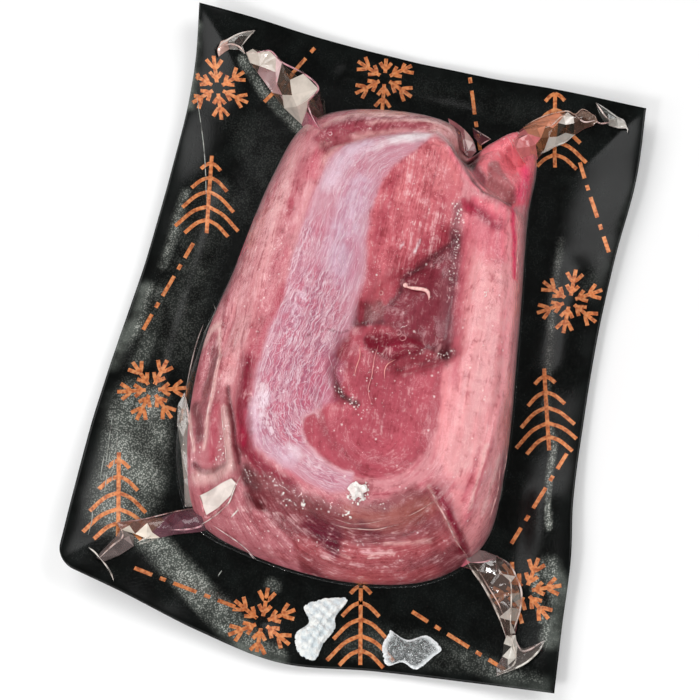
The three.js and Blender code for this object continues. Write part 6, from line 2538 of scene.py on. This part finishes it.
# Painted reflections: pale glazes paint the lamps into gusset facets, the copper glaze paints the print, pale
# rims paint fold highlights.
WHITE_LAMP_REFLECTION = (216, 204, 192)
MAUVE_FILM = (120, 76, 88)
COPPER_PRINT_REFLECTION = (214, 138, 108)
GUSSETS = (
    FilmGusset(
        "gusset_top_left",
        outline="-94,140,2.5 -91,136,1 -86,132,1 -76,123,1 -68,116,1 -57,109,1 -48,97,6 -38,89,36 "
                "-35,95,26 -44,110,8 -48,124,2 -59,131,2 -72,138,2 -80,143,2 -91,143,2",
        folds="-87,140,7 -81,141,10 -73,135,14 -60,129,20 -50,120,26 -52,114,28 -53,110,30 -46,98,33 "
              "-85,134,5 -76,132,7 -74,126,6 -70,121,6 -77,138,11 -70,125,10 -67,127,13 -64,119,13 "
              "-53,106,27 -60,113,14",
        glazes=(
            Glaze((92, 76, 66), 0.3),
            Glaze(WHITE_LAMP_REFLECTION, 0.85, "-95,141 -81,142 -76,134 -78,130 -86,133"),
            Glaze((196, 158, 158), 0.6, "-87,133 -77,134 -69,117 -76,121"),
            Glaze((238, 206, 206), 0.85, "-80,142 -72,136 -74,126 -77,132"),
            Glaze((92, 76, 66), 0.5, "-73,137 -64,131 -64,121 -70,116 -74,126"),
            Glaze(WHITE_LAMP_REFLECTION, 0.9, "-65,131 -59,130 -49,121 -52,110 -52,103 -60,106 -70,117 -65,121"),
            Glaze((208, 112, 132), 0.75, "-54,112 -50,108 -36,90 -50,95 -56,104"),
            Glaze((60, 44, 42), 0.25,
                  "-96,144 -81,142 -73,136 -59,130.4 -49.4,121 -50,112 -36,92 -34,96 -44,112 -46,126 "
                  "-80,146"),
        ),
        rims=(
            Rim(
                "-94,140,3 -87,140,7.3 -81,141,10.3 -73,135,14.3 -60,129,20.3 -50,120,26.3 -53,110,30.3 "
                "-51,105,32 -46,98,33.5 -39,91,38", 0.45, (214, 150, 160)),
            Rim("-77,138,11.3 -75,132,7.6 -74,126,6.5 -69,119,4 -66,115,2", 0.35, (222, 160, 166)),
            Rim("-38.6,92.5 -37.5,93.4 -36.5,92.5 -37.5,91.6 -38.6,92.5", 0.25, (236, 176, 184), rise=38.6),
        ),
        seed=3, sag=0.8, haze_spread=0.14),
    FilmGusset(
        "gusset_top_left_tail",
        outline="-94,139,3 -98,141,1.2 -103,140,1.2 -107,134,1.5 -108.5,137,2 -107.5,142,3 "
                "-103,144.5,4.5 -98,149.5,4 -91.5,152.5,2 -94,149,1.5 -97,144,1.5",
        folds="-99,146,5.5 -104,142,4.5 -101,143,4 -106,139,4.5 -97,147.5,4.5",
        glazes=(
            Glaze((168, 164, 158), 0.45),
            Glaze((226, 188, 176), 0.75, "-109,133 -104,134 -104,143 -109,143"),
            Glaze((78, 74, 70), 0.4, "-100,142 -95,143 -93,150 -99,147"),
        ),
        rims=(
            Rim("-107,134,2.4 -107,139,5 -104,143,5 -99,147.5,5.2 -92,152.3,2.6", 0.5, (226, 216, 208)),
            Rim("-94,139,3.6 -98,142,3 -102,141.5,4.6 -106,139,5", 0.45, (230, 200, 190)),
            Rim("-97,143,2 -94.5,148,2.4 -92,152,2.6", 0.35, (200, 190, 182)),
        ),
        seed=4, crumple=0.35),
    FilmGusset(
        "gusset_top_right",
        outline="50,121,9 56,131,3 60,135,2 66,139,2 73,142,2 77,143,2 81,142,2 84,145,2 88,144,2 "
                "91,143,3 93,140,3 91,138,2 87,136,1.5 83,132.5,1.5 79,128,1 74,124.5,1 69,120.5,1 "
                "67,117,1 64,110,6 60,105,22 54,110,26",
        folds="55,118,20 59,122,18.5 57,127,12 63,127,16 67,130,14 66,124,12 70,126,10 71,130,12.5 "
              "62,131,10 69,135,8 73,133,12 75,138,9 80,137.5,11 81,134.5,11 77,133,11.5 74,128,7 "
              "78,131,6 85,139,9 88,138.5,7 84,142,5 61,116,17 64,120,12",
        glazes=(
            Glaze((110, 84, 72), 0.45),
            Glaze((222, 122, 124), 0.88, "48,100 66,108 66,122 62,130 52,132 46,122"),
            Glaze(COPPER_PRINT_REFLECTION, 0.86, "57,126 58,138 74,144 73,132 68,128 66,121"),
            Glaze((150, 100, 72), 0.7, "66,121 68,128 73,131 76,128 69,119"),
            Glaze((222, 214, 206), 0.9, "73,132 74,139 79,140 82,136 80,133 76,133"),
            Glaze((66, 62, 54), 0.5, "71,128 76,133 82,136 84,133 79,128"),
            Glaze((206, 202, 194), 0.75, "68,118 69,124 80,132 82,130 78,126"),
            Glaze((152, 124, 110), 0.55, "82,141 84,147 93,141 88,137"),
        ),
        rims=(
            Rim("81,142,3 82,138.5,9 86,137,8 92,140,4.6", 0.45, (240, 212, 206)),
            Rim(
                "56,131,4 60,135,3 66,139,3 73,142,3 77,143,3 81,142,3 84,145,3 91,142,4", 0.35,
                (206, 168, 150)),
            Rim("67,118,2 69,121,2 74,125,2 79,128,2 83,132.5,2.4", 0.5, (222, 216, 208)),
            Rim("66,128,15.4 70,131,13.2 74,137,10.5 78,139,10.4", 0.35, (214, 186, 170)),
            Rim("92,140,4 94,139,4 97,139.5,4 99,140,5", 0.4, (236, 196, 190)),
        ),
        seed=11, crumple=0.45, sag=1.0, haze_spread=0.3),
    FilmGusset(
        "gusset_top_right_tail",
        outline="90,147.5,6.5 93,147.3,5 97,145.5,4 102,143.5,3 106,142.5,2.5 108.5,139.5,1.2 "
                "104,139,1.2 99,139.5,1.5 95.5,141.5,2 92.5,144,3.5",
        folds="94,144,6.5 98,141,5.8 101,141,5 97,143.5,5.8",
        glazes=(Glaze((96, 98, 94), 0.4), Glaze((188, 184, 176), 0.75, "98,142 102,144 110,141 100,138")),
        rims=(
            Rim("90,147.3,7.2 93,144.5,6.9 96,142,6.3 99,140.4,5.8", 0.42, (232, 212, 204)),
            Rim("90,147.6,7.2 96,146,4.8 102,143.6,3.6 106,142.4,3 108.4,139.4,1.8", 0.36, (206, 202, 196)),
            Rim("99,140,2.4 104,139.2,1.8 108.4,139.3,1.6 109,137,1.2", 0.36, (222, 216, 210)),
        ),
        seed=12, crumple=0.2),
    FilmGusset(
        "gusset_bottom_left",
        outline="-44,-86,29 -52,-87,17 -58,-90,7 -63,-93,2 -62,-99,2 -67,-101,1.5 -72,-103,1.5 "
                "-78,-107,1.5 -86,-110,1.5 -92,-112,1.5 -98,-115,1.5 -95,-118,2 -88,-118,1.5 "
                "-82,-119,1.5 -76,-117,1.5 -70,-114,1.5 -64,-112,1.5 -58,-110,1.5 -52,-107,2 -46,-102,12 "
                "-42,-94,28",
        folds="-53,-95,18 -56,-103,11 -60,-104,9 -67,-107,8.5 -75,-109,8 -83,-112,7 -91,-115,6 "
              "-50,-100,14.5 -56,-92,14 -48,-92,24 -80,-115.5,4 -58,-107,6.5 -71,-111,6 -64,-109,6.5",
        glazes=(
            Glaze(MAUVE_FILM, 0.6),
            Glaze((226, 176, 186), 0.85, "-44,-84 -64,-92 -60,-97 -52,-94"),
            Glaze((238, 214, 216), 0.92, "-43,-88 -53,-92 -62,-95 -56,-104 -50,-102 -44,-96"),
            Glaze((150, 108, 96), 0.6, "-76,-105 -99,-114 -96,-119 -80,-114"),
            Glaze((226, 214, 198), 0.85, "-78,-113 -94,-117 -88,-122 -76,-118"),
        ),
        rims=(
            Rim(
                "-42,-91,33 -45,-97,27 -50,-100.5,15.2 -54,-104.5,9.6 -58,-108,6 -64,-110.6,5.6 "
                "-70,-112,4.6 -78,-114,4", 0.5, (226, 166, 176)),
            Rim("-56,-103,11.4 -54,-97,16 -56,-92,14.6 -62,-93,4", 0.35, (232, 196, 202)),
            Rim("-62,-99,3 -72,-103,2.4 -86,-110,2.4 -98,-115,2.4", 0.35, (176, 132, 128)),
            Rim("-76,-114,2 -81,-117.6,2 -86,-122,1.8", 0.45, (236, 228, 216)),
            Rim("-75,-115.4,1.6 -80,-119.4,1.4 -85,-122.6,1.4", 0.35, (226, 220, 210)),
            Rim("-52,-106,5 -45,-107,5 -38,-110,4 -34,-113,3 -29,-117,2", 0.55, (244, 222, 222)),
        ),
        seed=21, crumple=0.3, sag=0.8),
    FilmGusset(
        "gusset_bottom_left_tail",
        outline="-95,-117,2 -96,-121,2 -101,-131,1.5 -102,-134,1.5 -98,-135,1.2 -92,-130,1.2 "
                "-87,-124,1.2 -88,-119,1.5", folds="-92,-122,5.5 -96,-127,5.5 -99,-133,4.5 -90,-120,4",
        glazes=(Glaze((132, 118, 116), 0.45), Glaze((168, 156, 152), 0.6, "-88,-119 -94,-121 -92,-128")),
        rims=(
            Rim("-95,-117,3 -92.6,-121.4,6 -96,-127,6 -100,-134,4.6", 0.42, (238, 214, 206)),
            Rim("-107,-130,1.2 -103.5,-131.6,2.4 -100,-134,4.4", 0.4, (236, 230, 220)),
            Rim("-100,-134,4.4 -96,-137,3 -93,-140,2 -91,-143,1.2", 0.4, (236, 226, 216)),
        ),
        seed=22, crumple=0.2),
    FilmGusset(
        "gusset_bottom_right",
        outline="64,-86,8 69,-89,4 74,-89,2 80,-89,1.5 86,-90,1.5 93,-93,1.5 97,-98,1.5 101,-105,1.5 "
                "102,-113,1.5 102,-119,1.5 102,-125,2 101,-129,3 98,-128.5,1.5 97,-125,1.2 93,-119,1.2 "
                "88,-112,1.2 82,-105,1.2 75,-99,1.5 71,-99,3 62,-100,5",
        folds="74,-97,9 80,-95,9 86,-93,7 78,-100,7 85,-106,7 90,-99,8 95,-102,8 91,-112,6.5 95,-108,8 "
              "97,-114,8 98,-120,7 99.5,-126,6 70,-95,9.5 87,-100,8.5",
        glazes=(
            Glaze((120, 100, 92), 0.22),
            Glaze((206, 110, 124), 0.8, "60,-84 68,-86 74,-96 70,-101 60,-101"),
            Glaze((172, 150, 148), 0.55, "69,-88 74,-97 84,-92 86,-88"),
            Glaze((222, 214, 206), 0.8, "91,-98 96,-98 97,-104 93,-102"),
            Glaze((226, 216, 206), 0.7, "94,-106 97,-106 100,-124 96,-118"),
            Glaze((176, 172, 164), 0.5, "98,-100 103,-106 103,-124 99,-118"),
        ),
        rims=(
            Rim("74,-97,9.4 80,-95.4,9.4 86,-91.5,4", 0.35, (232, 170, 176)),
            Rim("72,-96,9.4 75,-99,5 82,-105,2.2 88,-112,2 93,-119,2 98,-128,3", 0.6, (236, 222, 210)),
            Rim("76,-98,8.6 80,-101,7 85,-106.6,7.2 91,-113,6.8 96,-121,6.4", 0.32, (226, 190, 176)),
            Rim(
                "86,-90,2.4 93,-93,2.4 97,-98,2.4 101,-105,2.4 102,-113,2.4 101,-122,3 100,-128,4", 0.5,
                (226, 206, 196)),
            Rim("92,-97,8.4 95,-103,8.4 96.6,-110,8.4 98,-119,7.6 99.6,-127,5", 0.4, (238, 226, 214)),
        ),
        seed=31, crumple=0.25, sag=0.9, haze_spread=0.2),
    FilmGusset(
        "gusset_bottom_right_tail",
        outline="98,-127,3 97.5,-131,1.2 98,-137,1.2 96,-143,1.2 97,-147,1.2 102,-143.5,1.5 "
                "107,-140.5,1.5 111,-136.5,1.5 115,-130,2 116,-125.5,2 112,-128.5,2 107,-131.5,3 "
                "104,-131,3 102,-126,4",
        folds="101,-132,6 104,-137,6 100.5,-138,3.5 107,-134.5,5 112,-131,4 101,-141,3.5",
        glazes=(
            Glaze((112, 104, 100), 0.4),
            Glaze((222, 216, 206), 0.75, "98,-126 103,-126 104,-136 101,-140 99,-133"),
            Glaze((78, 76, 72), 0.45, "96,-129 99,-133 99,-139 96,-141"),
        ),
        rims=(
            Rim("100,-127,5 102,-132,6.4 104,-137,6.4 103,-141,3.6 97,-146,2", 0.45, (240, 230, 218)),
            Rim("102,-128,6 106,-133,6.4 109,-132,5.4 115.6,-125.8,3", 0.5, (232, 210, 204)),
            Rim("97,-146.6,1.8 104,-142,2.2 110,-137,2.4 114.6,-130,3 115.8,-126,3", 0.5, (240, 234, 224)),
        ),
        seed=32, crumple=0.2),
    FilmGusset(
        "fold_left",
        outline="-60,-95,1.3 -52,-90.5,1.6 -45,-86.5,1.4 -42.5,-88,1.3 -44,-93.5,1.4 -49,-99.5,1.4 "
                "-54.5,-103.5,1.3 -57.5,-99,1.3", folds="-53,-95,2.3 -47,-91,2.1",
        # A painted reflection of the lamps makes this fold's facet white.
        glazes=(Glaze((240, 226, 218), 0.9),),
        rims=(
            Rim("-60.5,-95 -57.5,-99.5 -54.5,-104.5 -48.5,-100 -43.5,-94", 0.6, (222, 140, 148), True, 1.6),
        ),
        seed=51, crumple=0.05, sag=0.0, haze_spread=0.05, cells=7, on_meat=True),
    FilmGusset(
        "fold_left_web",
        outline="-82,-43.5,1.5 -83.7,-50.5,1 -81.7,-60.4,1 -76.7,-72.3,1 -71.6,-86.6,1.5 -67.9,-99.5,1.5 "
                "-62.1,-97.9,2 -66.3,-83,3 -71.2,-68.9,3 -76.3,-54.5,3", folds="-77,-66,3 -70,-85,2.6",
        glazes=(
            Glaze((168, 162, 156), 0.42),
            Glaze((196, 188, 180), 0.34, "-80,-60 -73,-60 -66,-84 -72,-88"),
        ),
        rims=(), seed=52, crumple=0.2, sag=0.3, cells=7),
    FilmGusset(
        "fold_notch", outline="30.5,125.5,3 41,121,4 36.5,116,5 32.5,119.5,6", folds="35.5,120.5,3.5",
        glazes=(Glaze((92, 42, 50), 0.55),),
        rims=(
            Rim("30.5,125.5,3.4 36,123,3.8 41,121,4.4", 0.34, (236, 210, 206)),
            Rim("41,121,4.4 38,118,5 36.5,116,5.4", 0.3, (206, 150, 152)),
        ),
        seed=53, crumple=0.15, sag=0.4, cells=6),
    FilmGusset(
        "fold_bulge",
        outline="17,128,1 21.5,126.5,1 26.5,123.5,1 32.5,118,1 35,113,1 32,107,1 27,106,1 22,116,1",
        folds="28,118,1.8 31,112.5,1.6",
        glazes=(
            Glaze((158, 96, 100), 0.86),
            Glaze((206, 166, 162), 0.9, "27,123 31,119 33.5,112 29.5,116"),
        ),
        rims=(), seed=55, crumple=0.1, sag=0.1, cells=7, on_meat=True),
)
# Loose folded edges of film; their pale colours paint the highlights along the folds.
LOOSE_RIMS = (
    Rim("82,-53 82,-60 81.5,-66", 0.7, (214, 210, 202), rise=1.2),
    Rim("81,-68,1.6 80,-73,1.8 79,-78,1.8 76,-84,1.6 73,-88.5,1.6", 1.1, (206, 200, 194)),
    Rim("-80.1,-12.6,1 -77.7,-3.1,1.5 -74.6,5.5,2 -72.4,14,2.5", 0.25, (160, 158, 152)),
    Rim("-79.2,4.8 -76.1,0.6 -73.8,-2.1", 0.22, (170, 168, 162), rise=1),
    Rim(
        "-70,-11.5 -68,-20.5 -66,-27.5 -65.5,-38 -65,-47.5 -65,-56.5 -64,-64.5 -63.5,-72", 0.32,
        (232, 190, 186), True, 0.5),
    Rim("-78.5,-49.5 -75,-57.5 -72,-65 -70,-69.5 -68.5,-73.5", 0.38, (240, 200, 194), True, 0.5),
    Rim("-41,-84 -43,-91.5 -44.5,-97 -48,-101 -53.5,-105.5 -59,-108", 0.34, (244, 236, 228), True, 1.3),
    Rim("-39,-98.5 -42.5,-103", 0.4, (248, 240, 232), True, 1),
    Rim("-51,-107 -45.5,-109 -38.5,-111.5 -35,-113 -32,-114.5 -28,-117", 0.3, (244, 230, 228), True, 0.4),
    Rim("4,-96.5 12,-97 19,-96 26.5,-94.5 32.5,-92 37,-90", 0.26, (224, 176, 170), True, 0.3),
    Rim("6,-94.5 14,-95 22.5,-93 29.5,-90", 0.18, (220, 172, 168), True, 0.3),
    Rim("38.5,-87 44,-82.5 49,-78 52,-76", 0.24, (224, 176, 170), True, 0.3),
    Rim("45.5,-71.5 49.5,-75 53,-79.5 58.5,-85.5 65,-92 73,-95.5", 0.4, (236, 180, 176), True, 0.4),
    Rim("-58,-54 -55.5,-61.5 -52,-71 -49,-80", 0.2, (236, 206, 202), True, 0.3),
    Rim("78,-52 79.5,-59 79,-69 78,-78", 0.22, (240, 190, 186), True, 0.3),
    Rim("79.5,-36 81,-44.5 81,-52.5", 0.2, (236, 182, 178), True, 0.3),
    Rim("62,78 64.5,61 66,49.5 67.5,37.5", 0.28, (240, 184, 180), True, 0.3),
    Rim("51,119 54.5,115.5 59.5,114.5 65.5,119", 0.34, (238, 196, 190), True, 0.4),
    Rim("53,126 57.5,122 62.5,122.5", 0.3, (238, 196, 190), True, 0.4),
    Rim("47.5,120.5 51.5,116.5 53.5,113", 0.22, (228, 166, 166), True, 0.3),
    Rim("58.5,117 61,118 63,119", 0.8, (248, 240, 230), True, 0.5),
    Rim("21.5,126.5 26.5,123.5 32.5,118 35,113", 0.4, (228, 172, 168), True, 0.4),
    Rim("-81,-7.5 -82,-17.5 -82,-29 -81.5,-42", 0.34, (176, 160, 154), True, 0.3),
)
BACKING_CREASES = tuple(Rim(path, 0.26, (168, 174, 166), rise=0.1) for path in (
    "-113.5,-61.8 -111.8,-76 -109.7,-91.1", "-109.1,-67.4 -107.2,-82.5 -104.6,-99.9",
    "-110.4,-75.6 -108,-95.7 -106.4,-105.6", "-112.1,-83.9 -110.7,-96.6",
    "-85.4,-84.4 -88,-90.1 -90.1,-95.8", "-111,-109.5 -109.2,-116.6 -109.1,-124.2",
    "-44.2,-128.8 -42.9,-125.5", "-114,112.9 -102.9,83.4 -93.1,49.5",
))
TISSUE_SHREDS = (
    Rim(
        "15,23,1.2 18,22.6,1.7 22.5,22.4,1.6 26,21.7,1.4 27.4,20,1.2 28,17.6,0.7", 0.9, (250, 204, 194),
        True),
    Rim("14.2,23.2,1.3 15.4,23.6,1.7 16.4,23,1.6", 1.3, (250, 206, 196), True),
    Rim("3.4,18 4.5,19 5.6,18 4.5,17 3.4,18", 0.16, (226, 180, 176), True, 0.4),
    Rim("15.6,-0.5 17,0.9 18.4,-0.5 17,-1.9 15.6,-0.5", 0.16, (222, 160, 164), True, 0.4),
    Rim("17.8,-3 19.5,-1.3 21.2,-3 19.5,-4.7 17.8,-3", 0.16, (222, 160, 164), True, 0.4),
    Rim("0,-11 1.5,-16 1,-21.5 1,-27", 0.24, (232, 160, 152), True, 0.2),
    Rim("18.5,-13.5 15,-17 14.5,-20.5 15.5,-24.5", 0.24, (232, 160, 152), True, 0.2),
    Rim("9,-9 8.5,-16 9,-24 9,-32 12,-39", 0.22, (226, 150, 150), True, 0.2),
)
WHITE_FLAKE = FrostFlake(
    "frost_white", "frost_flake_white", "white_frost", (9, -142),
    "9,-128 20,-126 16,-136 17,-141 13,-150 11,-158 3,-157 -1,-148 4,-141 0,-134", 3.2, 0.8)
CLEAR_FLAKE = FrostFlake(
    "frost_clear", "frost_flake_clear", "clear_frost", (54, -144),
    "43,-136 52,-139 61,-135 69,-140 66,-144 59,-152 52,-150 45,-153 41,-145", 2.2, 0.5)
MEAT_LUMP = FrostFlake(
    "frost_on_meat", "frost_lump", "white_frost", (14.5, -80.5),
    "9.5,-80.5 11,-78 13,-76.5 15,-77.6 17.5,-76.8 19,-79.5 17.6,-81.2 18.4,-84.4 15.4,-83.2 13.6,-85.4 "
    "12,-83", 2.6, 1.3, True, 26, 200, 0.1, 1.6)


def main() -> None:
    """Builds the pack round its frame, piece by piece."""
    logging.basicConfig(level=logging.INFO, format="%(name)s %(message)s")
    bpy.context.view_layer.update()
    pouch, meat = PouchForm(), MeatForm()
    Studio().build()
    BackingFilm(pouch).build()
    CopperPrint(pouch, meat).build()
    cut = MeatCut(MeatForm(foot=" ".join(NARROWED.get(place, place) for place in meat.foot.split())))
    cut.build()
    LidFilm(meat, pouch, MeatCut(meat)).build()
    TissueThreads(cut).build()
    for gusset in GUSSETS:
        gusset.build(pouch, meat)
    rims = [rim for gusset in GUSSETS for rim in gusset.rims]
    FilmRims("film_rims", [*rims, *LOOSE_RIMS, *BACKING_CREASES]).build(pouch, meat, RimFinish().material())
    FilmRims("tissue_shreds", TISSUE_SHREDS).build(pouch, meat, TissueFinish().material())
    WHITE_FLAKE.build(pouch, meat, FrostFinish().material())
    warm = FrostFinish("warm_frost", (250, 246, 241), (232, 220, 216)).material()
    MEAT_LUMP.build(pouch, meat, warm)
    FrostCrumbs(meat).build(warm)
    CLEAR_FLAKE.build(pouch, meat, ClearFrostFinish().material())


if __name__ == "__main__":
    main()
